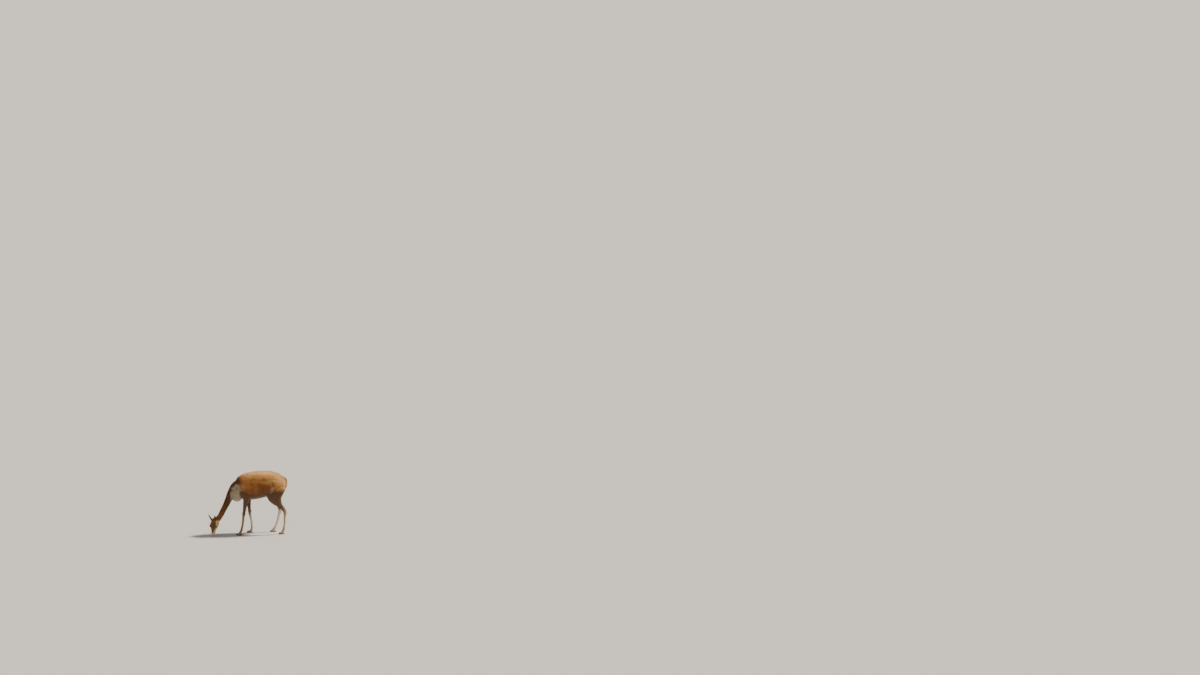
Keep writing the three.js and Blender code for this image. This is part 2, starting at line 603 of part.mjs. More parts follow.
// Every node's solid, by name, with its colour.
function allNodes() {
  const nodes = [];
  const add = (name, colour, solid) => nodes.push({ name, colour, solid: largest(solid) });
  const torsoShape = torsoFrames();
  const legSolids = LEGS.map(({ kind, joints, table, side }) => {
    const parts = [lofted(legFrames(joints, table, side), LEG_SIDES)];
    if (kind === "hind") parts.push(hockPoint(joints, side));
    parts.push(toe(joints, side, -1), toe(joints, side, 1));
    return join(parts);
  });
  const neck = lofted(neckFrames(), NECK_SIDES);
  const head = placedOnHead(headSolid());
  const hair = join([
    hairForm(BIB, BIB_HAIR.flare + HAIR_ROOM),
    hairForm(TAIL, TAIL_HAIR.flare + HAIR_ROOM),
  ]);
  const floor = halfSpace([0, 0, 0], [0, 0, -1]);
  const barrel = lofted(torsoShape, TORSO_SIDES);

  // Head and neck.
  const headNormal = headWay.clone().multiplyScalar(0.909).addScaledVector(headTop, 0.417);
  const headCut = headPlace.clone().addScaledVector(headNormal, 14).toArray();
  const neckBase = [-372, 0, 560];
  const neckWay = [-0.978, 0, -0.209];
  const middle = NECK[4].at;
  const middleWay = [-0.46, -0.12, -0.88];
  const [headless, headHalf] = parted(join([neck, head]), headCut, headNormal.toArray());
  const [, wholeNeck] = parted(headless, neckBase, neckWay);
  const [lower, upper] = parted(wholeNeck, middle, middleWay);
  add("head", "face", headHalf);
  add("neck_upper", "neck", upper);
  add("neck_lower", "neck", lower.subtract(hair));

  // Torso, with the root of the neck and the tops of the legs.
  const [chest] = parted(join([barrel, neck]), neckBase, neckWay);
  const bare = join([chest, ...legSolids]).subtract(floor);
  const neckRoom = lofted(neckFrames(), NECK_SIDES, PART_GAP).intersect(halfSpace(neckBase, neckWay, -PART_GAP / 2));
  const wool = join(fleece(bare)).subtract(neckRoom);
  const trunk = join([bare, wool]);
  const spaces = LEGS.map(({ kind, side }) => legSpace(LEG_CUTS[kind], side, PART_GAP));
  add("torso", "fleece", trunk.subtract(join(spaces)).subtract(hair));
  add("chest_bib", "pale", shaggy(BIB, BIB_ROWS, BIB_HAIR));
  add("tail", "fleece", shaggy(TAIL, TAIL_ROWS, TAIL_HAIR));

  // Legs, feet and nails.
  LEGS.forEach(({ name, kind, joints, side }) => {
    const leg = trunk.intersect(legSpace(LEG_CUTS[kind], side)).subtract(hair);
    const jointHeight = joints.joint[1] - (kind === "fore" ? 12 : 18);
    const [lowerLeg, upperLeg] = parted(leg, [0, 0, jointHeight], [0, 0, 1]);
    const [foot, cannon] = parted(lowerLeg, [0, 0, FOOT_CUT], [0, 0, 1]);
    const nails = [-1, 1].map((inner) => nail(joints, side, inner));
    const sockets = [-1, 1].map((inner) => nail(joints, side, inner, PART_GAP));
    add(`${kind}leg_${name}_upper`, "leg", upperLeg);
    add(`${kind}leg_${name}_cannon`, "pale", cannon);
    add(`${kind}foot_${name}`, "pale", foot.subtract(join(sockets)));
    nails.forEach((solid, i) => add(`nail_${kind}_${name}_${i ? "outer" : "inner"}`, "nail", solid));
  });

  // Ears and eyes.
  for (const [name, side] of [["left", 1], ["right", -1]]) {
    add(`ear_${name}`, "face", placedOnHead(ear(side).subtract(headForm(PART_GAP))));
    const ball = ellipsoid([EYE_AT[0], side * EYE_AT[1], EYE_AT[2]], Array(3).fill(EYE_RADIUS), EYE_ROUND);
    add(`eye_${name}`, "eye", placedOnHead(ball));
  }
  return nodes;
}

// A three.js mesh of a solid.
function meshOf({ name, colour, solid }) {
  const { numProp, vertProperties, triVerts } = solid.getMesh();
  const count = vertProperties.length / numProp;
  const place = new Float32Array(count * 3);
  for (let i = 0; i < count; i++) place.set(vertProperties.subarray(i * numProp, i * numProp + 3), i * 3);
  const geometry = new THREE.BufferGeometry();
  geometry.setAttribute("position", new THREE.BufferAttribute(place, 3));
  geometry.setIndex(new THREE.BufferAttribute(triVerts, 1));
  const mesh = new THREE.Mesh(geometry, new THREE.MeshStandardMaterial({ metalness: 0, ...COLOURS[colour] }));
  mesh.name = name;
  return mesh;
}

const vicuna = new THREE.Group();
vicuna.name = "vicuna";
allNodes().forEach((node) => vicuna.add(meshOf(node)));

// The origin goes to the middle of the box, on the floor.
const box = new THREE.Box3().setFromObject(vicuna);
const centre = box.getCenter(vector(0, 0, 0));
vicuna.position.set(-centre.x, -centre.y, -box.min.z);

export default vicuna;
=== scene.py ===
"""Looks of the grazing vicuna: one smooth skin under a coat of solid tufts, locks and lashes.

The tables are in millimetres in the animal's own drawing: floor at 0, +Z up, nose towards -X, the
left side towards -Y. to_frame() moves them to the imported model's frame, in metres.
"""

import math

import bpy
import numpy as np
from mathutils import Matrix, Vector
from mathutils.bvhtree import BVHTree


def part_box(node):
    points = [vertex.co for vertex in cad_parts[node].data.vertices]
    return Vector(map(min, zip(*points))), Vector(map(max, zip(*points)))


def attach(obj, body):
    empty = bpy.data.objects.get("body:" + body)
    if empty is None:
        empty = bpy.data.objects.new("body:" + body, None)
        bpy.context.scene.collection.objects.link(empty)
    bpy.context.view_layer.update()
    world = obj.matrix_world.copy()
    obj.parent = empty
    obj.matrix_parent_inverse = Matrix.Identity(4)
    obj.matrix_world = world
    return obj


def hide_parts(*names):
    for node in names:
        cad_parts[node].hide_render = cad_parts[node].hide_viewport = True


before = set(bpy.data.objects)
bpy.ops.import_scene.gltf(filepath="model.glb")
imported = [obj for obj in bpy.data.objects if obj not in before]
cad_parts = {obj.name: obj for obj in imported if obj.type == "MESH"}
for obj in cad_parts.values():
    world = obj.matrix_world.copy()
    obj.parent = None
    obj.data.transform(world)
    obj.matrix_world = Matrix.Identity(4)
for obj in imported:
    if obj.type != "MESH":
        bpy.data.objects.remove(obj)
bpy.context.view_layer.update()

# How far the skin lies inside the coat, the size of the cubes that fuse its forms, and the share of
# the body's faces that stay.
FLEECE_COAT = 14
NECK_COAT = 6
LEG_COAT = 2.5
FACE_COAT = 1.5
BODY_VOXEL = 3.2
HEAD_VOXEL = 1.5
BODY_KEPT = 0.28

# Torso: x, top, bottom, half width, egg.
TORSO = np.array([
    (-352, 694, 500, 66, 0), (-300, 750, 454, 101, -0.06), (-210, 803, 436, 128, -0.14),
    (-100, 828, 440, 146, -0.1), (20, 836, 466, 152, -0.06), (120, 828, 500, 146, 0),
    (210, 799, 535, 130, 0.04), (270, 760, 572, 102, 0), (304, 722, 612, 60, 0),
], float)

# Neck: x, y, z, half depth, half width.
NECK = np.array([
    (-235, 0, 640, 104, 84), (-320, 0, 608, 98, 78), (-388, -8, 546, 68, 55), (-430, -18, 475, 52, 43),
    (-471, -32, 396, 45, 38), (-512, -52, 325, 42, 36), (-552, -70, 258, 41, 37), (-608, -85, 202, 36, 34),
], float)

# Legs: x and z of the top, the bend, the joint and the fetlock, and the side (-1 is the left).
LEGS = {
    "hind_left": ([(214, 692), (98, 482), (293, 276), (279, 66)], -1),
    "hind_right": ([(208, 692), (84, 500), (247, 276), (187, 66)], 1),
    "fore_left": ([(-296, 628), (-208, 506), (-246, 274), (-274, 66)], -1),
    "fore_right": ([(-288, 628), (-172, 502), (-150, 268), (-118, 66)], 1),
}
# Leg sections: bone, share of the bone's length, shift to the back, half depth, half width, out.
HIND = np.array([
    (0, 0.0, 0, 78, 34, 46), (0, 0.42, 34, 98, 46, 72), (0, 0.94, 56, 98, 46, 84),
    (1, 0.24, 45, 68, 39, 88), (1, 0.5, 33, 36, 28, 88), (1, 0.77, 20, 21, 21, 87), (1, 0.96, 4, 22, 21, 86),
    (2, 0.1, 1, 22, 20, 86), (2, 0.27, 0, 17, 16, 86), (2, 0.6, 0, 14, 13, 86), (2, 0.87, 0, 16, 15, 86),
    (2, 1.0, -2, 19, 18, 86), (2, 1.13, -14, 17, 18, 86), (2, 1.24, -26, 16, 20, 86),
], float)
FORE = np.array([
    (0, 0.0, 24, 70, 34, 38), (0, 0.6, 10, 72, 40, 70), (1, 0.1, 2, 50, 35, 84), (1, 0.42, 0, 33, 27, 88),
    (1, 0.78, 0, 23, 21, 87), (1, 0.98, 0, 24, 22, 86), (2, 0.14, 0, 19, 18, 86), (2, 0.5, 0, 14, 13, 86),
    (2, 0.85, 0, 16, 15, 86), (2, 1.0, -2, 19, 18, 86), (2, 1.13, -14, 17, 18, 86),
    (2, 1.24, -26, 16, 20, 86),
], float)
STANCE = 86
TOE_ROOT, TOE_SPREAD, TOE_SPLAY = 14, 12.5, 4
# Toe: ahead of its root, middle height, half depth, half width.
TOE = np.array([(-18, 9, 8, 8), (-3, 12, 14, 13), (24, 11, 15, 13.5), (44, 8, 10, 9)], float)

# Head, along its own axis: share of its length, top, bottom, half width, egg.
HEAD_LENGTH = 225
HEAD = np.array([
    (0.0, 32, -40, 36, 0), (0.12, 47, -58, 46, 0), (0.25, 53, -68, 49, 0.06), (0.37, 54, -67, 51, 0.2),
    (0.48, 50, -56, 49, 0.26), (0.58, 41, -46, 38, 0.1), (0.7, 31, -39, 29, -0.04),
    (0.82, 24, -36, 25, -0.12), (0.9, 19, -35, 24.5, -0.16), (0.95, 11, -31, 20, -0.1),
    (0.985, 1, -24, 13, 0),
], float)
EYE_AT = np.array([104, 38.5, 20])
EYE_RADIUS = 14
EAR_AT = np.array([26, 30, 34])
EAR_LENGTH = 104
# Ear: share of its length, half thickness, half width, half angle of its opening in degrees.
EAR = np.array([
    (-0.1, 11, 12, 12), (0.1, 13, 15, 30), (0.35, 13, 19, 62), (0.6, 10, 16, 72), (0.85, 6, 8, 80),
    (1, 3, 3, 84),
], float)

# Long hair of the chest and the tail, out to its tips: x, y, z, half depth, half width.
BIB = np.array([
    (-300, 0, 640, 30, 44), (-318, -2, 594, 58, 70), (-326, -3, 540, 70, 80), (-326, -3, 492, 70, 72),
    (-324, -3, 456, 62, 56), (-324, -3, 434, 50, 40),
], float)
TAIL = np.array([
    (274, 0, 726, 16, 22), (303, 0, 712, 20, 27), (315, 0, 678, 20, 30), (313, 0, 636, 19, 29),
    (305, 0, 594, 15, 22), (296, 0, 562, 8, 10),
], float)
# How far the smooth cores of both lie inside, and the share of the length that they reach.
BIB_CORE = (22, 0.6)
TAIL_CORE = (7, 0.7)


def unit(v):
    """Vectors of length 1 along the last axis."""
    return v / np.maximum(np.linalg.norm(v, axis=-1, keepdims=True), 1e-12)


def step(low, high, value):
    """A smooth step: 0 below low, 1 above high, 3t^2 - 2t^3 between them."""
    t = np.clip((value - low) / (high - low), 0, 1)
    return t * t * (3 - 2 * t)


def mix(a, b, t):
    """a + (b - a) t, where a or b may be a colour or a vector, or many of them, and t a share for each."""
    a, b, t = (np.asarray(v, float) for v in (a, b, t))
    if t.ndim and {2, 3} & {*a.shape[-1:], *b.shape[-1:]}:
        t = t[..., None]
    return a + (b - a) * t


# The head's own frame: along to the lips, out to the animal's left, up to the forehead.
head_way = unit(np.array([-0.19, -0.08, -1.0]))
turn = math.radians(45)
head_up = np.array([-math.cos(turn), -math.sin(turn), 0])
head_up = unit(head_up - head_way * (head_up @ head_way))
head_axes = np.array([head_way, np.cross(head_up, head_way), head_up])
head_place = np.array([-615, -85, 8 - head_way[2] * HEAD_LENGTH])


def on_head(points):
    """Points of the head's own frame in the drawing: place + along * way + out * side + up * top."""
    return points @ head_axes + head_place


def in_head(points):
    """Points of the drawing in the head's own frame."""
    return (points - head_place) @ head_axes.T


eye_low, eye_high = (np.array(c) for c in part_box("eye_left"))
shift = (eye_low + eye_high) / 2 - on_head(EYE_AT) / 1000


def to_frame(points):
    """Drawing millimetres to the frame's metres."""
    return points / 1000 + shift


def to_drawing(points):
    """The frame's metres to drawing millimetres."""
    return (points - shift) * 1000


def hashed(cell, seed):
    """A number from 0 to 1 for each cube of whole-number corners, mixed from its three numbers."""
    x, y, z = (cell[..., k].astype(np.int64) for k in range(3))
    n = x * 73856093 ^ y * 19349663 ^ z * 83492791 ^ (seed * 2654435761)
    n = (n ^ (n >> 13)) * 1274126177
    return ((n ^ (n >> 16)) & 0xFFFFF) / 0xFFFFF


def noise(points, size, seed=0):
    """Smooth noise from 0 to 1: the numbers at the corners of cubes of the given size, blended with
    a smooth step along each axis."""
    cell = np.floor(points / size)
    f = points / size - cell
    f = f * f * (3 - 2 * f)
    total = np.zeros(points.shape[:-1])
    for corner in np.ndindex(2, 2, 2):
        total += hashed(cell + np.array(corner), seed) * np.prod(np.where(corner, f, 1 - f), axis=-1)
    return total


def clump_of(points, size, seed=0):
    """For each point the nearest clump centre, one of which lies at a mixed place in each cube of the
    given size, how near the point is to it (1 at the centre, 0 on the border to the next one), and a
    number from 0 to 1 for the clump."""
    home = np.floor(points / size)
    best = np.full(len(points), np.inf)
    second = best.copy()
    centre = np.zeros_like(points)
    number = np.zeros(len(points))
    for offset in np.ndindex(3, 3, 3):
        cell = home + np.array(offset) - 1
        place = np.stack([hashed(cell, seed + k) for k in (1, 2, 3)], -1)
        place = (cell + 0.15 + 0.7 * place) * size
        far = np.linalg.norm(points - place, axis=1)
        nearer = far < best
        second = np.where(nearer, best, np.minimum(second, far))
        best = np.where(nearer, far, best)
        centre[nearer] = place[nearer]
        number[nearer] = hashed(cell, seed + 4)[nearer]
    return centre, np.clip((second - best) / (second + best) * 2.4, 0, 1), number


def smooth_rows(rows, steps):
    """Rows between the given ones: each column follows a Catmull-Rom curve, steps to a span."""
    padded = np.vstack([rows[0], rows, rows[-1]])
    t = (np.arange(steps) / steps)[None, :, None]
    a, b, c, d = (padded[i : len(rows) - 1 + i, None] for i in range(4))
    spans = 0.5 * (2 * b + (c - a) * t + (2 * a - 5 * b + 4 * c - d) * t**2 + (3 * b - 3 * c + d - a) * t**3)
    return np.vstack([spans.reshape(-1, rows.shape[1]), rows[-1]])


def form(middle, deep, wide, egg, side, steps=6):
    """A lofted form along a smoothed path: its middles, and at each the way along, the way across (the
    given side made square to it) and the way up, with half sizes."""
    rows = smooth_rows(np.column_stack([middle, deep, wide, np.broadcast_to(egg, len(middle))]), steps)
    middle = rows[:, :3]
    way = unit(np.gradient(middle, axis=0))
    across = unit(np.array(side, float) - way * (way @ np.array(side, float))[:, None])
    return {
        "middle": middle, "way": way, "across": across, "up": np.cross(way, across),
        "deep": rows[:, 3], "wide": rows[:, 4], "egg": rows[:, 5],
    }


def surface(shape, angles, grow=0.0):
    """Points of a form: middle + across (wide + grow) cos a (1 + egg sin a) + up (deep + grow) sin a."""
    a = np.asarray(angles)[..., None]
    wide, deep, egg = (shape[k][:, None, None] for k in ("wide", "deep", "egg"))
    return (
        shape["middle"][:, None]
        + shape["across"][:, None] * (wide + grow) * np.cos(a) * (1 + egg * np.sin(a))
        + shape["up"][:, None] * (deep + grow) * np.sin(a)
    )


def tube_faces(rings, sides):
    """Faces of a closed grid of rings, and a fan to a pole at each end: the poles are the last two points."""
    i = np.arange(rings - 1)[:, None] * sides
    k = np.arange(sides)
    n = (k + 1) % sides
    quads = np.stack([i + k, i + n, i + n + sides, i + k + sides], -1).reshape(-1, 4)
    low, high = rings * sides, rings * sides + 1
    last = (rings - 1) * sides
    fans = np.vstack([
        np.stack([np.full(sides, low), n, k], -1), np.stack([np.full(sides, high), last + k, last + n], -1),
    ])
    return [quads, fans]


def closed(shape, sides=40, grow=0.0, dome=0.35):
    """A form as a closed surface. At each end two more rings shrink as the cosine of 35 and 65
    degrees and move out as its sine, and a pole closes them."""
    grid = surface(shape, np.arange(sides) * 2 * np.pi / sides, grow)
    caps = []
    for end, sign in ((0, -1), (-1, 1)):
        middle, way = shape["middle"][end], shape["way"][end] * sign
        reach = dome * min(shape["deep"][end], shape["wide"][end]) + grow
        t = np.radians([35, 65])[:, None, None]
        rings = middle + (grid[end] - middle) * np.cos(t) + way * reach * np.sin(t)
        caps.append((rings[::-1] if sign < 0 else rings, middle + way * reach))
    rings = np.vstack([caps[0][0], grid, caps[1][0]])
    points = np.vstack([rings.reshape(-1, 3), caps[0][1], caps[1][1]])
    return points, tube_faces(len(rings), sides)


def tube(path, radius, side=(0, 0, 1), sides=12, steps=4, flat=1.0):
    """A round rod along a smoothed path, with half width radius and half depth radius * flat."""
    path = np.asarray(path, float)
    radius = np.broadcast_to(radius, len(path))
    return closed(form(path, radius * flat, radius, 0, side, steps), sides, dome=0.8)


def ball(at, half, around=32, rows=18):
    """An ellipsoid: at + half * (cos u cos v, sin u cos v, sin v)."""
    v = np.linspace(-np.pi / 2, np.pi / 2, rows + 2)[1:-1, None]
    u = np.arange(around) * 2 * np.pi / around
    grid = np.stack([np.cos(u) * np.cos(v), np.sin(u) * np.cos(v), np.sin(v) + 0 * u], -1).reshape(-1, 3)
    return np.vstack([grid, (0, 0, -1), (0, 0, 1)]) * half + at, tube_faces(rows, around)


def joined(parts):
    """Several surfaces as one list of points and faces."""
    points, faces, start = [], [], 0
    for p, f in parts:
        points.append(p)
        faces += [g + start for g in f]
        start += len(p)
    return np.vstack(points), faces


def mesh_object(name, points, faces, smooth=True):
    """A mesh object from points in the frame's metres and arrays of three- or four-cornered faces."""
    mesh = bpy.data.meshes.new(name)
    mesh.vertices.add(len(points))
    mesh.vertices.foreach_set("co", np.asarray(points, np.float32).ravel())
    corners = np.concatenate([f.ravel() for f in faces]).astype(np.int32)
    sizes = np.concatenate([np.full(len(f), f.shape[1]) for f in faces])
    mesh.loops.add(len(corners))
    mesh.loops.foreach_set("vertex_index", corners)
    mesh.polygons.add(len(sizes))
    mesh.polygons.foreach_set("loop_start", (np.cumsum(sizes) - sizes).astype(np.int32))
    mesh.update(calc_edges=True)
    mesh.polygons.foreach_set("use_smooth", np.full(len(sizes), smooth))
    made = bpy.data.objects.new(name, mesh)
    bpy.context.scene.collection.objects.link(made)
    return made


def finished(obj, kind, **settings):
    """The object with one modifier of the given kind applied to its mesh."""
    modifier = obj.modifiers.new(kind, kind)
    for key, value in settings.items():
        setattr(modifier, key, value)
    mesh = bpy.data.meshes.new_from_object(obj.evaluated_get(bpy.context.evaluated_depsgraph_get()))
    obj.modifiers.clear()
    old, obj.data = obj.data, mesh
    bpy.data.meshes.remove(old)
    return obj


def array_of(items, name, width, kind=np.float32):
    """One attribute of all of a mesh's items as an array."""
    values = np.empty(len(items) * width, kind)
    items.foreach_get(name, values)
    return values.reshape(-1, width).astype(float if kind == np.float32 else np.int64)


def evened(obj, rounds, where=None, back=-0.53):
    """Moves each point p towards the middle m of its neighbours by 0.5 (m - p), then by back (m - p),
    some rounds, so that creases soften while thin legs keep their size. where gives a share per point."""
    mesh = obj.data
    points = array_of(mesh.vertices, "co", 3)
    a, b = array_of(mesh.edges, "vertices", 2, np.int32).T
    n = len(points)
    count = np.bincount(a, minlength=n) + np.bincount(b, minlength=n)
    share = np.ones(n) if where is None else where(points)
    for factor in (0.5, back) * rounds:
        total = [np.bincount(a, points[b, k], n) + np.bincount(b, points[a, k], n) for k in range(3)]
        points += (factor * share)[:, None] * (np.stack(total, 1) / count[:, None] - points)
    mesh.vertices.foreach_set("co", points.astype(np.float32).ravel())
    mesh.update()
    return obj


def leg_form(name, grow=0.0):
    """A leg's form from its joints: each section lies at its share of a bone, shifted back and out. In
    the thigh the way along is a mean over 19 rows, with the weights of a raised cosine, so that the
    deep sections don't cross."""
    joints, side = LEGS[name]
    table = HIND if name.startswith("hind") else FORE
    joints = np.array(joints, float)
    bone = table[:, 0].astype(int)
    at = mix(joints[bone], joints[bone + 1], table[:, 1])
    middle = np.column_stack([at[:, 0] + table[:, 2], side * table[:, 5], at[:, 1]])
    made = form(middle, table[:, 3] + grow, table[:, 4] + grow, 0, (0, 1, 0))
    weights = np.hanning(21)[1:-1]
    half = len(weights) // 2
    padded = np.pad(made["way"], ((half, half), (0, 0)), mode="edge")
    way = np.stack([np.convolve(padded[:, k], weights / weights.sum(), "valid") for k in range(3)], 1)
    thigh = step(150, 330, made["middle"][:, 2])[:, None]
    made["way"] = unit(made["way"] * (1 - thigh) + way * thigh)
    made["across"] = unit(np.array([0, 1, 0]) - made["way"] * made["way"][:, 1:2])
    made["up"] = np.cross(made["way"], made["across"])
    return made


def leg_surfaces(name):
    """A leg with its tendons, hock or knee, and two toes."""
    joints, side = LEGS[name]
    (jx, jz), (fx, fz) = joints[2], joints[3]
    y = side * STANCE
    parts = [closed(leg_form(name, -LEG_COAT), dome=0.35)]
    if name.startswith("hind"):
        cord = [
            (jx - 34, side * 87, jz + 96, 12.5), (jx + 2, y, jz + 46, 7.5), (jx + 15, y, jz + 8, 10),
            (jx + 9, y, jz - 24, 8.5),
        ]
    else:
        cord = [(jx + 6, y, jz + 34, 12), (jx + 15, y, jz + 12, 9), (jx + 12, y, jz - 18, 8)]
    cord = np.array(cord)
    parts.append(tube(cord[:, :3], cord[:, 3], (0, 1, 0)))
    # The tendon behind the cannon, 5 mm back from its middle and 9 mm more half way down.
    t = np.array([0.08, 0.3, 0.6, 0.85, 1.0])
    back = np.column_stack([mix(jx, fx, t) + 9 * np.sin(np.pi * t) + 5, y + 0 * t, mix(jz, fz, t)])
    parts.append(tube(back, (7, 6, 6, 7, 9), (0, 1, 0)))
    for inner in (-1, 1):
        share = np.arange(len(TOE)) / (len(TOE) - 1)
        out = y + inner * (TOE_SPREAD + TOE_SPLAY * share)
        middle = np.column_stack([fx - TOE_ROOT - TOE[:, 0], out, TOE[:, 1]])
        parts.append(closed(form(middle, TOE[:, 2] - 0.8, TOE[:, 3] - 0.8, -0.1, (0, -1, 0)), 28, dome=0.6))
    return parts


def core(rows, inset, share):
    """The smooth core under long hair: the form's sections up to a share of its length, set in."""
    rows = rows[:max(3, round(len(rows) * share))]
    return form(rows[:, :3], rows[:, 3] - inset, rows[:, 4] - inset, 0, (0, 1, 0))


torso_form = form(
    np.column_stack([TORSO[:, 0], 0 * TORSO[:, 0], (TORSO[:, 1] + TORSO[:, 2]) / 2]),
    (TORSO[:, 1] - TORSO[:, 2]) / 2 - FLEECE_COAT, TORSO[:, 3] - FLEECE_COAT, TORSO[:, 4], (0, 1, 0), 8,
)
neck_form = form(NECK[:, :3], NECK[:, 3] - NECK_COAT, NECK[:, 4] - NECK_COAT, 0, (0, -1, 0), 8)


def body_skin():
    """Torso, neck, legs and the cores of bib and tail, fused by a voxel remesh and evened out."""
    in_jaw = on_head(np.array([40.0, 0, -20]))
    throat = np.array([(-536, -62, 276), (-560, -66, 236), (-582, -69, 206), in_jaw])
    parts = [closed(torso_form, 72), closed(neck_form, 56), tube(throat, (32, 31, 30, 24), (0, 1, 0), 24)]
    for name in LEGS:
        parts += leg_surfaces(name)
    parts += [closed(core(BIB, *BIB_CORE), 40), closed(core(TAIL, *TAIL_CORE), 28)]
    points, faces = joined(parts)
    # The floor takes off the lowest part of each pad.
    points[:, 2] = np.maximum(points[:, 2], 0.6)
    made = finished(mesh_object("body", to_frame(points), faces), "REMESH", voxel_size=BODY_VOXEL / 1000)
    made = evened(made, 7, lambda p: step(0.03, 0.11, p[:, 2]) * 0.9 + 0.1)
    return finished(made, "DECIMATE", ratio=BODY_KEPT)


def head_form(grow=0.0):
    """The head's form in its own frame."""
    z = (HEAD[:, 1] + HEAD[:, 2]) / 2
    middle = np.column_stack([HEAD[:, 0] * HEAD_LENGTH, 0 * z, z])
    return form(middle, (HEAD[:, 1] - HEAD[:, 2]) / 2 + grow, HEAD[:, 3] + grow, HEAD[:, 4], (0, 1, 0), 8)


def ear_form(side):
    """The ear's leaf in the head's frame: it leans back and out, and opens ahead and out."""
    lean = unit(np.array([-0.7, side * 0.27, 0.66]))
    facing = unit(np.array([0.6, side * 0.58, 0.4]))
    share = EAR[:, 0]
    bow = np.column_stack([0 * share, side * 3 * np.sin(np.pi * np.maximum(share, 0)), 0 * share])
    middle = EAR_AT * (1, side, 1) + lean * (share * EAR_LENGTH)[:, None] + bow
    return form(middle, EAR[:, 1], EAR[:, 2], 0, np.cross(lean, facing), 8)


def ear_shell(side, thick=3.2):
    """The ear as a thick curled sheet: angles run round the leaf from one edge of its opening to the
    other, outside at the leaf's size and inside that less the sheet's thickness."""
    shape = ear_form(side)
    gap = np.radians(smooth_rows(EAR[:, 3:], 8))
    turns = np.linspace(0, 1, 40)[None]
    angles = -np.pi / 2 + gap + (2 * np.pi - 2 * gap) * turns
    grid = np.concatenate([surface(shape, angles), surface(shape, angles[:, ::-1], -thick * 0.999)], 1)
    rows, sides = grid.shape[:2]
    points = np.vstack([grid.reshape(-1, 3), grid[0].mean(0), grid[-1].mean(0)])
    return points, tube_faces(rows, sides)


# The almond between the lids, from the eye's middle: its two corners and how far each half rises.
LID_CORNERS = ((-14.5, -1.5), (15.0, -2.5))
LID_RISE, LID_DROP = 12.0, -9.6


def lid_line(upper, count=24):
    """Half of the almond between the lids, from the rear corner to the front one, as points along and
    up from the eye's middle: the line between the corners + rise * 4 t (1 - t), with t skewed a little."""
    t = np.linspace(0, 1, count)
    (ax, az), (bx, bz) = LID_CORNERS
    rise = LID_RISE if upper else LID_DROP
    skew = t ** (0.9 if upper else 1.1)
    return np.column_stack([mix(ax, bx, t), mix(az, bz, t) + rise * 4 * skew * (1 - skew)])


def on_eye(line, side, radius):
    """Points along and up from the eye's middle, set out onto a sphere of the given radius round it."""
    out = np.sqrt(np.maximum(radius**2 - line[:, 0] ** 2 - line[:, 1] ** 2, 9.0))
    return EYE_AT * (1, side, 1) + np.column_stack([line[:, 0], side * out, line[:, 1]])


def lid_opening(side):
    """The almond as a solid: a fan of rings from inside the eye out to the side."""
    line = np.vstack([lid_line(True), lid_line(False)[-2:0:-1]])
    middle, flat = EYE_AT * (1, side, 1), np.zeros(len(line))
    rings = [middle + np.column_stack([line[:, 0], flat + side * d, line[:, 1]]) for d in (-4, 8, 20, 34)]
    points = np.vstack([*rings, rings[0].mean(0), rings[-1].mean(0)])
    faces = tube_faces(len(rings), len(line))
    return points, faces if side > 0 else [f[:, ::-1] for f in faces]


def mouth_height(along):
    """Height of the line between the lips in the head's frame, at a place along the head."""
    return np.interp(along, (160, 176, 192, 206, 218, 232), (-16, -12.5, -10.8, -12.2, -15.5, -18.5))


def on_skin(tree, points, ways):
    """Where rays from the points along the ways meet a surface."""
    found = [tree.ray_cast(Vector(p), Vector(w))[0] for p, w in zip(points, ways)]
    return np.array([hit for hit in found if hit is not None])


def tree_of(points, faces):
    """A search tree of a surface."""
    return BVHTree.FromPolygons(points.tolist(), [q for f in faces for q in f.tolist()])


def mouth_cut(tree):
    """A round rod along the line between the lips, from one corner round the front to the other."""
    along = np.concatenate([np.linspace(166, 214, 22), np.full(8, 216.0)])
    t = np.radians(np.concatenate([np.zeros(22), np.linspace(8, 84, 8)]))
    path = []
    for side in (1, -1):
        ways = np.column_stack([np.sin(t), side * np.cos(t), 0 * t])
        start = np.column_stack([along - 6, 0 * along, mouth_height(along)])
        start[22:, 2] = mouth_height(216 + 14 * np.sin(t[22:]))
        hits = on_skin(tree, start + ways * 90, -ways)
        path.append(hits if side > 0 else hits[::-1])
    return tube(np.vstack(path), 2.6, (0, 0, 1), 10, 2)


# Paths on the left side of the head, in the head's frame.
CHEEKBONE = np.array([(58, 42, 6), (84, 44, -1), (112, 39, -3), (140, 28, -2), (164, 20, 0)], float)
BROW = np.array([(80, 35, 34), (92, 38.5, 38), (106, 39, 38.5), (120, 34, 33)])
NOSTRIL_RIM = np.array([(198, 19, 12), (206, 18.5, 13), (213, 15, 10), (217, 11, 5)])
NOSTRIL = np.array([(203, 23.5, 9.5), (209, 21.5, 9.5), (216, 16.5, 7.5), (221, 11, 3.5)])
NOSE_BRIDGE = np.array([(96, 0, 40), (130, 0, 31), (165, 0, 21), (195, 0, 15)], float)


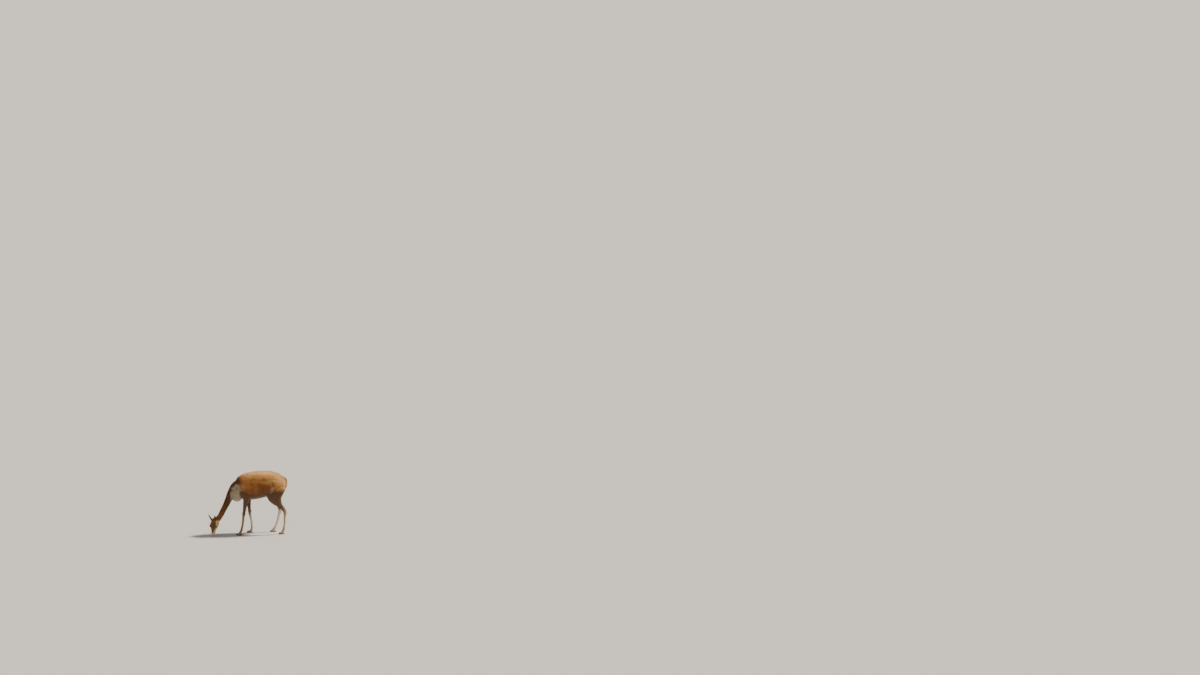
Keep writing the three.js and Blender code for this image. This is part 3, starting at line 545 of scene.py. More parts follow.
def head_extras():
    """Brows, cheekbones, nostril rims and lips, over the head's plain form."""
    parts = []
    for side in (-1, 1):
        s = np.array([1, side, 1])
        parts += [
            ball((EYE_AT - (2, 1, -2)) * s, (22, 15.6, 19.5)),
            tube(CHEEKBONE * s, (5, 6, 6, 5, 3)),
            tube(BROW * s, (4, 6.5, 6.5, 4)),
            ball(np.array((207, 9.5, -3)) * s, (17, 13.2, 12.4)),
            ball(np.array((202, 9, 9)) * s, (17, 8.6, 8.4)),
            tube(NOSTRIL_RIM * s, (2.0, 2.8, 2.8, 2.0)),
        ]
    parts.append(ball(np.array((205, 0, -25)), (15, 15.5, 8.5)))
    parts.append(tube(NOSE_BRIDGE, (13, 12, 10, 9)))
    return parts


def head_skin():
    """The head: forms fused by a voxel remesh, cut by the mouth, the nostrils, the split of the lip and
    the eyes' hollows, then fused again with the rims of the lids and the ears."""
    solid = joined([closed(head_form(-FACE_COAT), 72, dome=0.3)] + head_extras())
    made = finished(mesh_object("head", solid[0] / 1000, solid[1]), "REMESH", voxel_size=HEAD_VOXEL / 1000)
    made = evened(made, 9, back=-0.35)
    points = array_of(made.data.vertices, "co", 3) * 1000
    tree = tree_of(points, [array_of(made.data.polygons, "vertices", 4, np.int32)])
    cuts = [mouth_cut(tree), ball(np.array((229, 0, 0)), (10, 1.4, 13))]
    for side in (-1, 1):
        s = np.array([1, side, 1])
        cuts += [ball(EYE_AT * s, np.full(3, EYE_RADIUS + 0.5)), lid_opening(side)]
        cuts.append(tube(NOSTRIL * s, (2.0, 4.0, 4.2, 2.2), (0, 0, 1), 12, 4, 0.62))
    for k, cut in enumerate(cuts):
        cutter = mesh_object(f"cut_{k}", cut[0] / 1000, cut[1])
        made = finished(made, "BOOLEAN", operation="DIFFERENCE", solver="MANIFOLD", object=cutter)
        bpy.data.objects.remove(cutter)
    rims = []
    for side in (-1, 1):
        for upper, thick in ((True, 1.9), (False, 1.6)):
            rims.append(tube(on_eye(lid_line(upper), side, EYE_RADIUS + 1.5), thick, (0, side, 0), 10, 1))
        fold = lid_line(True)[3:-3] + (0, 6.5)
        rims.append(tube(on_eye(fold, side, EYE_RADIUS + 3.0), 1.5, (0, side, 0), 8, 1))
        rims.append(ear_shell(side))
    base = (array_of(made.data.vertices, "co", 3) * 1000, faces_of(made.data))
    points, faces = joined([base, *rims])
    bpy.data.objects.remove(made)
    made = mesh_object("head", to_frame(on_head(points)), faces)
    return evened(finished(made, "REMESH", voxel_size=HEAD_VOXEL / 1000), 2)


def faces_of(mesh):
    """A mesh's faces as triangles."""
    mesh.calc_loop_triangles()
    return [array_of(mesh.loop_triangles, "vertices", 3, np.int32)]


def whole_skin():
    """Head and body fused into one closed skin. The crease at the throat is evened out in full within
    0.07 m of a point behind the jaw and not at all beyond 0.1 m, nor at the ears."""
    body, head = body_skin(), head_skin()
    body = finished(body, "BOOLEAN", operation="UNION", solver="MANIFOLD", object=head)
    bpy.data.objects.remove(head)
    body.name = body.data.name = "skin"
    middle = to_frame(on_head(np.array([0.0, 0, -24])))

    def crease(p):
        below_ears = 1 - step(0.012, 0.04, (p - middle) @ head_up)
        return (1 - step(0.07, 0.1, np.linalg.norm(p - middle, axis=1))) * below_ears

    return evened(body, 60, crease, back=-0.35)


skin = whole_skin()
skin_mesh = skin.data
skin_points = to_drawing(array_of(skin_mesh.vertices, "co", 3))
skin_normals = array_of(skin_mesh.vertices, "normal", 3)
skin_faces = faces_of(skin_mesh)[0]


def set_on_head(shape):
    """A form of the head's own frame, moved to the drawing."""
    turned = {key: shape[key] @ head_axes for key in ("way", "across", "up")}
    return {**shape, **turned, "middle": on_head(shape["middle"])}


# The forms that carry the coat, with the chart (left, low, width, height) of each on the bake map.
FORMS = {
    "torso": torso_form, "neck": neck_form, "head": set_on_head(head_form()),
    **{name: leg_form(name) for name in LEGS},
    "ear_left": set_on_head(ear_form(1)), "ear_right": set_on_head(ear_form(-1)),
    "bib": core(BIB, *BIB_CORE), "tail": core(TAIL, *TAIL_CORE),
}
PART = {name: i for i, name in enumerate(FORMS)}
CHARTS = {
    "torso": (0.02, 0.02, 0.56, 0.46), "neck": (0.62, 0.02, 0.17, 0.46), "head": (0.82, 0.02, 0.16, 0.46),
    "hind_left": (0.02, 0.52, 0.13, 0.46), "hind_right": (0.17, 0.52, 0.13, 0.46),
    "fore_left": (0.32, 0.52, 0.13, 0.46), "fore_right": (0.47, 0.52, 0.13, 0.46),
    "ear_left": (0.62, 0.52, 0.08, 0.3), "ear_right": (0.72, 0.52, 0.08, 0.3),
    "bib": (0.82, 0.52, 0.16, 0.22), "tail": (0.82, 0.76, 0.16, 0.22),
}


def nearest_form(points):
    """For each point the form whose surface it lies on: the one with the least (across / wide)^2 +
    (up / deep)^2 + (along / 16 mm)^2 from a section's middle. Gives the form, the share along it, the
    angle round it, and the place across, up and along it in millimetres."""
    best = np.full(len(points), np.inf)
    part = np.zeros(len(points), int)
    share = np.zeros(len(points))
    angle = np.zeros(len(points))
    local = np.zeros_like(points)
    for name, shape in FORMS.items():
        count = len(shape["middle"])
        reach = np.append(0, np.cumsum(np.linalg.norm(np.diff(shape["middle"], axis=0), axis=1)))
        for i in range(count):
            away = points - shape["middle"][i]
            wide, deep = max(shape["wide"][i], 6), max(shape["deep"][i], 6)
            across, up = away @ shape["across"][i] / wide, away @ shape["up"][i] / deep
            far = across**2 + up**2 + (away @ shape["way"][i] / 16) ** 2
            if name.startswith("ear"):
                far = far + 0.25
            near = far < best
            best[near] = far[near]
            part[near] = PART[name]
            share[near] = i / (count - 1)
            angle[near] = np.arctan2(up[near], across[near])
            place = np.stack([across * wide, up * deep, reach[i] + away @ shape["way"][i]], 1)
            local[near] = place[near]
    return part, share, angle, local


skin_part, skin_share, skin_angle, skin_local = nearest_form(skin_points)


def is_part(*names):
    """1 where a point of the skin belongs to one of the named forms."""
    return np.isin(skin_part, [PART[n] for n in names])


x, y, z = skin_points.T
on_legs = is_part(*LEGS)
on_hind = is_part("hind_left", "hind_right")
on_neck, on_torso = is_part("neck"), is_part("torso")
on_face = is_part("head")
on_ears = is_part("ear_left", "ear_right")
on_bib, on_tail = is_part("bib"), is_part("tail")
along_head, _, up_head = in_head(skin_points).T
rough = noise(skin_points, 34, 3) - 0.5
fine = noise(skin_points, 11, 5) - 0.5

# How much of a point is in the long fleece: its lower edge runs along the flank and over the thigh.
fleece_edge = np.interp(x, (-352, -250, -190, 40, 110, 200, 330), (596, 576, 556, 552, 566, 580, 592))
in_fleece = step(-14, 10, z - fleece_edge + 26 * rough) * (on_torso | on_legs | on_neck)
in_fleece = in_fleece * step(-372, -318, x + 30 * rough) * ~on_tail


def paint(red, green, blue):
    """A colour as a paint maker gives it, 0 to 255, in linear light."""
    c = np.array([red, green, blue]) / 255
    return np.where(c > 0.04045, ((c + 0.055) / 1.055) ** 2.4, c / 12.92)


# Umber, neck brown, belly brown and stone grey are partly painted shade; gold is a painted highlight.
TAWNY, AMBER, RUST = paint(198, 134, 66), paint(232, 180, 108), paint(150, 86, 42)
BUFF, CREAM, WHITE = paint(190, 158, 116), paint(226, 208, 176), paint(236, 230, 214)
UMBER, SHADED_WHITE, DEEP_RUST = paint(98, 70, 47), paint(170, 148, 122), paint(88, 50, 27)
NECK_BROWN, FACE_BROWN, DARK = paint(112, 70, 37), paint(108, 72, 40), paint(48, 33, 24)
STRAW, PAD, SHADED_BELLY = paint(236, 204, 144), paint(84, 68, 56), paint(116, 88, 62)
HIGHLIGHT_GOLD = paint(246, 194, 120)


def lid_distance(points):
    """Distance from each point of the head's frame to the nearest edge of a lid."""
    mirrored = points * np.where(points[:, 1:2] < 0, (1, -1, 1), (1, 1, 1))
    best = np.full(len(points), np.inf)
    for upper in (True, False):
        for at in on_eye(lid_line(upper, 30), 1, EYE_RADIUS + 1.5):
            best = np.minimum(best, np.linalg.norm(mirrored - at, axis=1))
    return best


def markings():
    """The coat's colours on the skin's points, laid one over the other with smooth steps."""
    down_way = -skin_normals[:, 2]
    # Fleece: tawny, with broad pale and rust mottles, a painted highlight on the back and painted shade low
    # down.
    colour = mix(TAWNY, AMBER, step(0.5, 0.86, noise(skin_points, 88, 7) + 0.3 * fine))
    colour = mix(colour, RUST, 0.6 * step(0.6, 0.86, noise(skin_points, 52, 9) + 0.3 * fine))
    colour = mix(colour, RUST, 0.75 * step(675, 575, z + 60 * rough))
    colour = mix(colour, UMBER, 0.65 * step(36, -2, z - fleece_edge + 30 * rough))
    # Painted shade darkens the flank in front of the thigh, and a painted highlight lightens the haunch.
    flank_shade = step(-190, -60, x) * (1 - step(92, 136, x + 24 * rough)) * step(722, 640, z + 30 * rough)
    colour = mix(colour, (RUST + DEEP_RUST) / 2, 0.7 * flank_shade)
    colour = mix(colour, AMBER, 0.45 * step(126, 180, x + 24 * rough) * step(560, 610, z))
    colour = mix(colour, HIGHLIGHT_GOLD, 0.9 * step(735, 808, z + 34 * rough))
    # Belly: brown at the side under the fleece, pale in the middle below.
    # The belly's brown and grey are darker than its own white: painted shade under the body.
    belly = mix(mix(UMBER, SHADED_BELLY, step(520, 450, z)), SHADED_WHITE, step(0.72, 0.96, down_way))
    colour = mix(colour, belly, (1 - in_fleece) * (on_torso | on_legs))
    # The fold of the flank: a dark notch of painted shade in the crease, over a pale strip.
    fold = np.exp(-(((x - 112 - 0.12 * (z - 600)) / 15) ** 2)) * (np.abs(y) > 60)
    colour = mix(colour, CREAM, 0.5 * fold * step(505, 540, z) * (1 - step(615, 650, z)))
    notch = np.hypot((x - 128 + 0.3 * (z - 676) + 18 * fine) / 21, (z - 676 + 20 * fine) / 42)
    colour = mix(colour, DEEP_RUST, 0.8 * (1 - step(0.35, 1.15, notch)) * (np.abs(y) > 50))
    rump = step(285, 325, x) * step(34, 56, np.abs(y)) * (1 - step(640, 690, z))
    colour = mix(colour, CREAM, 0.6 * rump * (on_torso | on_hind))
    # Legs: brown high up, buff below, white inside and behind, whitest on the hind cannons.
    outer = np.where(y < 0, -1, 1) * np.cos(skin_angle)
    # The brown high up on the legs is partly painted shade under the body.
    high = np.where(on_hind, step(262, 345, z + 40 * rough), step(170, 345, z + 40 * rough))
    pale = 0.8 * np.sin(skin_angle) - 0.75 * outer + 0.5 * rough - 1.1 * high
    pale = pale + np.where(on_hind, 0.35 * (1 - high), -0.15)
    low_brown = mix(mix(BUFF, UMBER, 0.6), mix(BUFF, UMBER, 0.15), on_hind * 1.0)
    pale_colour = mix(mix(WHITE, CREAM, 0.6), SHADED_BELLY, high)
    leg_colour = mix(mix(low_brown, UMBER, high), pale_colour, step(-0.1, 0.55, pale))
    leg_colour = mix(leg_colour, mix(BUFF, UMBER, 0.5), 0.75 * step(62, 26, z))
    colour = np.where(on_legs[:, None], mix(leg_colour, colour, in_fleece), colour)
    colour = mix(colour, PAD, on_legs * (1 - step(6, 11, z)))
    # Neck: brown, with a narrow pale throat; towards the chest the pale part widens up the side.
    # The neck's brown and the grey of its throat are darker than its own colours: partly painted shade.
    ridge = np.sin(skin_angle) + 0.4 * rough
    chestward = step(0.56, 0.26, skin_share)
    brown = step(mix(-0.95, 0.42, chestward), mix(-0.7, 0.74, chestward), ridge)
    wool = mix(NECK_BROWN, TAWNY, 0.3 * step(0.5, 1.0, skin_share) + 0.2 * fine)
    neck_colour = mix(mix(CREAM, SHADED_WHITE, 0.8 + rough), wool, brown)
    shoulder = (1 - step(-325, -205, x + 30 * rough)) * np.maximum(step(575, 635, z), on_neck)
    colour = mix(colour, mix(wool, TAWNY, step(-330, -230, x)), shoulder * (on_torso | on_neck))
    # Chest and bib: cream greyed towards stone, partly painted shade on their white hair.
    chest = (1 - step(-318, -280, x + 30 * rough)) * (1 - step(630, 690, z + 30 * rough))
    colour = mix(colour, mix(CREAM, SHADED_WHITE, 0.85), chest * (on_torso | on_legs) * (z > 470 - (x + 300)))
    withers = step(-350, -300, x) * step(640, 690, z)
    colour = np.where(on_neck[:, None], mix(neck_colour, colour, withers), colour)
    colour = mix(colour, mix(CREAM, SHADED_WHITE, 0.6), on_bib * 1.0)
    # Tail: tawny above, darkened under as painted shade.
    tail_colour = mix(TAWNY, NECK_BROWN, step(0.2, -0.6, np.sin(skin_angle)) * 0.8)
    colour = np.where(on_tail[:, None], tail_colour, colour)
    # Head: brown brow and nose, straw cheeks, cream lips and throat, a pale ring outside dark lids.
    local = in_head(skin_points)
    mirrored = local * np.where(local[:, 1:2] < 0, (1, -1, 1), (1, 1, 1))
    face = mix(FACE_BROWN, TAWNY, 0.22 * step(-0.5, 0.6, fine + rough))
    cheek = step(30, 8, up_head + 9 * rough + 0.1 * (along_head - 110)) * step(4, 24, mirrored[:, 1])
    face = mix(face, STRAW, cheek * step(-4, 34, along_head + 14 * rough))
    face = mix(face, CREAM, 0.8 * step(-30, -52, up_head + 12 * rough) * step(20, 60, along_head))
    face = mix(face, CREAM, 0.8 * step(-16, -32, up_head + 8 * rough) * step(100, 140, along_head))
    face = mix(face, wool, step(34, 0, along_head - 0.2 * up_head + 16 * rough) * step(-58, -36, up_head))
    face = mix(face, WHITE, 0.95 * step(170, 194, along_head - 0.5 * up_head + 8 * rough))
    lids = lid_distance(local)
    face = mix(face, CREAM, 0.3 * step(3, 5, lids) * (1 - step(7, 12, lids)))
    face = mix(face, DARK, 1 - step(1.6, 3.6, lids))
    # A dark line in the gap between the lips: painted shade.
    gape = np.abs(up_head - mouth_height(along_head))
    face = mix(face, DARK, 0.85 * (1 - step(1.0, 2.6, gape)) * step(160, 170, along_head))
    nose = np.linalg.norm((mirrored - (212, 17, 8)) / (10, 9, 4.2), axis=1)
    face = mix(face, DARK, 0.9 * (1 - step(0.7, 1.2, nose)))
    colour = np.where(on_face[:, None], face, colour)
    ear = mix(FACE_BROWN, DARK, step(0.4, 1.0, skin_share))
    ear = mix(ear, STRAW, 0.55 * step(-0.3, -0.8, np.sin(skin_angle)) * step(1.0, 0.6, skin_share))
    return np.where(on_ears[:, None], ear, colour)


skin_tint = markings()


def lie_of_coat():
    """The way that the hair lies at each point of the skin: back and down the body, down the legs, up
    the neck to the body, from the nose back over the face and out along the ears."""
    lie = np.zeros_like(skin_points)
    lie[:] = (1, 0, -0.75)
    lie[:, 2] += 1.4 * (1 - step(-330, -160, x)) * step(0.05, 0.5, skin_normals[:, 2])
    for name, shape in FORMS.items():
        here = skin_part == PART[name]
        near = np.round(skin_share[here] * (len(shape["way"]) - 1)).astype(int)
        way = shape["way"][near]
        if name == "neck":
            lie[here] = -way
        elif name == "head":
            lie[here] = -way + 0.25 * (-head_up)
        elif name in LEGS:
            high = step(470, 640, skin_points[here, 2])
            lie[here] = mix(way, np.array([0.8, 0, -0.8]), high)
        elif name != "torso":
            lie[here] = way
    lie -= skin_normals * (lie * skin_normals).sum(1, keepdims=True)
    return unit(lie)


skin_lie = lie_of_coat()


def coat_sizes():
    """Length, width, lift and roots per square centimetre of the tufts at each point of the skin."""
    long_fleece = 25 + 9 * np.exp(-(((z - fleece_edge - 14) / 26) ** 2)) * (np.abs(y) > 50) + 6 * rough
    length = mix(12.0, long_fleece, in_fleece * step(-365, -250, x))
    # Shorter where the thigh folds into the flank.
    length = length * (1 - 0.5 * np.exp(-(((x - 108) / 22) ** 2) - ((z - 545) / 45) ** 2))
    sizes = [length, mix(1.9, 2.2, in_fleece), mix(0.3, 0.5, in_fleece), mix(7.0, 14.3, in_fleece)]

    def put(where, *values):
        for k, value in enumerate(values):
            if value is not None:
                sizes[k] = np.where(where, value, sizes[k])

    plain = in_fleece < 0.5
    put(on_torso & plain, 14.0, 1.7, 0.14, 9.0)
    put(on_neck & plain, mix(15.0, 7.5, step(0.35, 0.95, skin_share)), 1.7, 0.24, 19.0)
    up_leg = step(120, 520, z)
    put(on_legs & plain, mix(5.0, 11.0, up_leg), mix(1.2, 1.8, up_leg), 0.11, 6.0)
    put(on_legs & (z < 34), None, None, None, 5.0)
    put(on_legs & (z < 9), None, None, None, 0.0)
    muzzle, throat = step(176, 200, along_head), step(-20, -45, up_head)
    put(
        on_face, mix(mix(6.5, 8.5, throat), 2.5, step(90, 190, along_head)),
        mix(1.7, 0.9, step(60, 190, along_head)), mix(mix(0.2, 0.3, throat), 0.11, muzzle),
        mix(24.0, 10.0, muzzle),
    )
    # None on the lids and the eyes, and none at the very front of the lips.
    lids = lid_distance(in_head(skin_points))
    eye_far = np.linalg.norm(in_head(skin_points) * (1, 0, 1) - EYE_AT * (1, 0, 1), axis=1)
    put(on_face & ((lids < 4) | (eye_far < 9) | (along_head > 219)), None, None, None, 0.0)
    put(on_ears, 6.0, 1.3, 0.22, 14.0)
    put(on_bib | on_tail, None, None, None, 0.0)
    return sizes


skin_length, skin_width, skin_lift, skin_dense = coat_sizes()


def chart_place(part, share, angle):
    """Place on the bake map: each form's angle and share along it fill the form's own chart."""
    left, low, wide, high = np.array([CHARTS[n] for n in FORMS])[part].T
    return np.stack([left + wide * (angle / (2 * np.pi) + 0.5), low + high * share], -1)


def cell_order(points, size=7.0):
    """The order of points by small cells along a curve that keeps near cells together: the bits of
    the cell's three numbers taken in turn."""
    cell = np.floor((points - points.min(0)) / size).astype(np.int64)
    code = np.zeros(len(points), np.int64)
    for bit in range(9):
        for k in range(3):
            code |= ((cell[:, k] >> bit) & 1) << (3 * bit + k)
    return np.argsort(code, kind="stable")


def roots(chosen, more, rng):
    """Roots spread evenly over chosen faces: with the faces in cell order, one root stands at each
    whole number of the summed area * roots per area, at a mixed place in its face."""
    faces = skin_faces[chosen]
    corner = skin_points[faces]
    area = np.linalg.norm(np.cross(corner[:, 1] - corner[:, 0], corner[:, 2] - corner[:, 0]), axis=1) / 200
    weight = area * skin_dense[faces].mean(1) * more
    order = cell_order(corner.mean(1))
    total = np.cumsum(weight[order])
    count = int(total[-1])
    found = order[np.minimum(np.searchsorted(total, np.arange(count) + rng.random(count)), len(order) - 1)]
    a, b = rng.random((2, count))
    a, b = np.where(a + b > 1, 1 - a, a), np.where(a + b > 1, 1 - b, b)
    weights = np.stack([1 - a - b, a, b], 1)
    faces = faces[found]

    def blend(values):
        return (values[faces] * (weights[..., None] if values.ndim > 1 else weights)).sum(1)

    first = faces[:, 0]
    return {
        "at": blend(skin_points), "normal": unit(blend(skin_normals)), "lie": unit(blend(skin_lie)),
        "tint": blend(skin_tint), "length": blend(skin_length), "width": blend(skin_width),
        "lift": blend(skin_lift), "fleece": blend(in_fleece),
        "chart": chart_place(skin_part[first], skin_share[first], skin_angle[first]),
    }


# Places of the grain are squeezed along the hair by this share, so that the grain runs along it.
COMBED = 0.1


def set_values(mesh, name, kind, values):
    """One attribute for all of a mesh's points: a number, a vector or a colour for each."""
    field = {"FLOAT": "value", "FLOAT_VECTOR": "vector", "FLOAT_COLOR": "color"}[kind]
    made = mesh.attributes.new(name, kind, "POINT")
    made.data.foreach_set(field, np.asarray(values).astype(np.float32).ravel())


def with_alpha(colours):
    """Colours with an alpha of 1."""
    return np.column_stack([colours, np.ones(len(colours))])


def strands(path, across, width, thick):
    """Tapered closed strands, n of them with s stations: rings of three points (a corner at each side
    and a ridge on top) at each station but the last, which is the tip. Gives points and faces."""
    n, s = path.shape[:2]
    ahead = unit(np.gradient(path, axis=1))
    across = unit(across[:, None] - ahead * (across[:, None] * ahead).sum(-1, keepdims=True))
    up = np.cross(across, ahead)
    corners = np.array([(1, -0.35), (0, 0.65), (-1, -0.35)])
    ring = (
        path[:, :-1, None]
        + across[:, :-1, None] * (corners[:, 0, None] * (width / 2)[:, :-1, None, None])
        + up[:, :-1, None] * (corners[:, 1, None] * thick[:, :-1, None, None])
    )
    points = np.concatenate([ring.reshape(n, -1, 3), path[:, -1:]], 1)
    k = np.arange(3)
    nxt = (k + 1) % 3
    r = np.arange(s - 2)[:, None] * 3
    quads = np.stack([r + k, r + k + 3, r + nxt + 3, r + nxt], -1).reshape(-1, 4)
    tip = 3 * (s - 1)
    tris = np.vstack([np.stack([tip - 3 + k, np.full(3, tip), tip - 3 + nxt], -1), [[0, 1, 2]]])
    start = (np.arange(n) * (tip + 1))[:, None, None]
    return points, [(quads + start).reshape(-1, 4), (tris + start).reshape(-1, 3)]


def hair_object(name, path, across, width, thick, tint, chart, pick, material, rise=None):
    """Strands as one object, with the skin's colour at the root, the share along, a number for the
    strand, the place for the grain, and the bake map, on which each strand is a patch 0.003 across at
    its root's place. Where rise, the skin's normal at each root, is given, the strand's own normal n
    becomes unit(n + 1.1 rise), which softens the shading."""
    points, faces = strands(path, across, width, thick)
    n, each = points.shape[:2]
    made = mesh_object(name, to_frame(points.reshape(-1, 3)), faces)
    mesh = made.data
    stations = path.shape[1]
    along = np.append(np.repeat(np.arange(stations - 1), 3), stations - 1) / (stations - 1)
    across_at = np.append(np.tile((0.5, 0, -0.5), stations - 1), 0)
    reach = np.linalg.norm(path[:, -1] - path[:, 0], axis=1)
    combed = np.stack([
        across_at * np.repeat(width.max(1)[:, None], each, 1), np.repeat(pick[:, None] * 900, each, 1),
        along * reach[:, None] * COMBED,
    ], -1)
    turns = np.append(np.tile(np.arange(3) * 2 * np.pi / 3, stations - 1), 0)
    patch = 0.0015 * (1 - along)[:, None] * np.stack([np.cos(turns), np.sin(turns)], 1)
    set_values(mesh, "along", "FLOAT", np.tile(along, n))
    set_values(mesh, "pick", "FLOAT", np.repeat(pick, each))
    set_values(mesh, "combed", "FLOAT_VECTOR", combed)
    set_values(mesh, "tint", "FLOAT_COLOR", np.repeat(with_alpha(tint), each, 0))
    if rise is not None:
        own = array_of(mesh.vertices, "normal", 3)
        set_values(mesh, "custom_normal", "FLOAT_VECTOR", unit(own + 1.1 * np.repeat(rise, each, 0)))
    place = (chart[:, None] + patch).reshape(-1, 2)
    corner = array_of(mesh.loops, "vertex_index", 1, np.int32)[:, 0]
    mesh.uv_layers.new(name="OFBake").uv.foreach_set("vector", place[corner].astype(np.float32).ravel())
    mesh.materials.append(material)
    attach(made, "root")
    return made


def tuft_paths(r, rng, stations=3, clump=None, pull=0.0, swing=0.25, curve=0.35):
    """Centre lines of tufts of length L at t from 0 to 1: root - normal * sink (1 - 0.75 t) + way * L t
    cos(lift) + normal * L sin(lift) (t - curve t^2) + pull * (clump centre - root, flat on the skin) *
    t^1.5, where sink is about L / 10 and way is the lie turned at random by swing. Tufts near a clump's
    border are lower and shorter, which rounds the clumps."""
    n = len(r["at"])
    turn = rng.normal(0, swing, n)
    across = np.cross(r["normal"], r["lie"])
    way = r["lie"] * np.cos(turn)[:, None] + across * np.sin(turn)[:, None]
    length = r["length"] * (0.78 + 0.44 * rng.random(n))
    lift = r["lift"] * (0.75 + 0.5 * rng.random(n))
    toward = np.zeros((n, 3))
    if clump is not None:
        bend = np.stack([noise(r["at"], 70, k) - 0.5 for k in (41, 42, 43)], 1) * clump
        centre, near, number = clump_of(r["at"] + bend, clump, 21)
        centre = centre - bend
        lift = lift * mix(1.0, mix(0.72, 1.08, near), r["fleece"])
        length = length * mix(1.0, mix(0.85, 1.06, near), r["fleece"])
        away = centre - r["at"]
        toward = away - r["normal"] * (away * r["normal"]).sum(1, keepdims=True)
        toward = toward * (pull * mix(0.35, 1.0, r["fleece"]))[:, None]
        r["clump"] = number
    t = np.linspace(0, 1, stations)[None, :, None]
    rise = np.sin(lift)[:, None, None]
    sink = np.clip(0.1 * length, 0.25, 1.6)[:, None, None]
    path = (
        r["at"][:, None] - r["normal"][:, None] * sink
        + way[:, None] * length[:, None, None] * t * np.cos(lift)[:, None, None]
        + r["normal"][:, None] * (length[:, None, None] * rise * (t - curve * t**2) + 0.75 * sink * t)
        + toward[:, None] * t**1.5
    )
    return path, np.cross(r["normal"], way)


def coat(name, chosen, slot, material, thick=0.42, clump=None, pull=0.0, seed=1, limit=190_000, **kind):
    """Tufts over the chosen faces, in pieces of fewer than limit triangles."""
    rng = np.random.default_rng(seed)
    r = roots(chosen, 1.0, rng)
    path, across = tuft_paths(r, rng, clump=clump, pull=pull, **kind)
    n, s = path.shape[:2]
    width = (r["width"] * (0.8 + 0.4 * rng.random(n)))[:, None] * np.linspace(1, 0.55, s)
    pick = 0.7 * rng.random(n) + 0.3 * r.get("clump", rng.random(n))
    each = (s - 2) * 6 + 4
    pieces = math.ceil(n * each / limit)
    order = np.argsort(r["at"][:, 0] if name != "leg_hair" else r["at"][:, 2])
    for k, part in enumerate(np.array_split(order, pieces)):
        made = hair_object(
            f"{name}_{k + 1}", path[part], across[part], width[part], width[part] * thick, r["tint"][part],
            r["chart"][part], pick[part], material, r["normal"][part],
        )


def node(tree, kind, at=None, **values):
    """A node of the given kind; values set its inputs by name, or its own settings."""
    made = tree.nodes.new(kind)
    for key, value in values.items():
        if key in made.inputs:
            if hasattr(value, "is_output"):
                tree.links.new(value, made.inputs[key])
            else:
                made.inputs[key].default_value = value
        elif hasattr(made, key):
            setattr(made, key, value)
    return made


def new_material(name):
    """A material, its node tree and its main shader."""
    material = bpy.data.materials.new(name)
    material.use_nodes = True
    return material, material.node_tree, material.node_tree.nodes["Principled BSDF"]


def set_ramp(ramp, stops):
    """A colour ramp's stops, as places and colours: the first two are the ones that it starts with."""
    points = ramp.color_ramp.elements
    for k, (place, colour) in enumerate(stops):
        stop = points[k] if k < 2 else points.new(place)
        stop.position, stop.color = place, (*colour, 1)


def fur_group():
    """Colour, height and roughness of fur: the skin's markings, darker at the root as painted shade,
    lighter at the tip, varied from strand to strand, with fine streaks of noise."""
    t = bpy.data.node_groups.new("Fur", "ShaderNodeTree")
    for label, value in (("Root shade", 0.7), ("Tip light", 1.1), ("Variation", 0.3), ("Grain", 1.5)):
        socket = t.interface.new_socket(label, in_out="INPUT", socket_type="NodeSocketFloat")
        socket.default_value = value
    for label, kind in (("Colour", "Color"), ("Height", "Float"), ("Roughness", "Float")):
        t.interface.new_socket(label, in_out="OUTPUT", socket_type="NodeSocket" + kind)
    given = t.nodes.new("NodeGroupInput").outputs
    out = t.nodes.new("NodeGroupOutput")
    tint = node(t, "ShaderNodeAttribute", attribute_name="tint").outputs["Color"]
    along = node(t, "ShaderNodeAttribute", attribute_name="along").outputs["Fac"]
    pick = node(t, "ShaderNodeAttribute", attribute_name="pick").outputs["Fac"]
    place = node(t, "ShaderNodeAttribute", attribute_name="combed").outputs["Vector"]
    grain = t.nodes.new("ShaderNodeTexNoise")
    grain.inputs["Detail"].default_value = 2.0
    t.links.new(place, grain.inputs["Vector"])
    t.links.new(given["Grain"], grain.inputs["Scale"])

    def maths(operation, a, b, c=None):
        made = t.nodes.new("ShaderNodeMath")
        made.operation = operation
        for socket, value in zip(made.inputs, (a, b, c)):
            if value is None:
                continue
            if hasattr(value, "is_output"):
                t.links.new(value, socket)
            else:
                socket.default_value = value
        return made.outputs[0]

    # (root + (tip - root) * along) * (1 + 2 * variation * (pick - 0.5) + 0.8 * (grain - 0.5))
    rise = maths("SUBTRACT", given["Tip light"], given["Root shade"])
    light = maths("MULTIPLY_ADD", rise, along, given["Root shade"])
    odd = maths("SUBTRACT", pick, 0.5)
    odd = maths("MULTIPLY", odd, given["Variation"])
    odd = maths("MULTIPLY_ADD", odd, 2.0, 1.0)
    streak = maths("SUBTRACT", grain.outputs["Fac"], 0.5)
    odd = maths("MULTIPLY_ADD", streak, 0.8, odd)
    light = maths("MULTIPLY", light, odd)
    shade = t.nodes.new("ShaderNodeVectorMath")
    shade.operation = "SCALE"
    t.links.new(tint, shade.inputs[0])
    t.links.new(light, shade.inputs["Scale"])
    t.links.new(shade.outputs[0], out.inputs["Colour"])
    t.links.new(grain.outputs["Fac"], out.inputs["Height"])
    t.links.new(maths("MULTIPLY_ADD", grain.outputs["Fac"], 0.2, 0.72), out.inputs["Roughness"])
    return t


fur = fur_group()


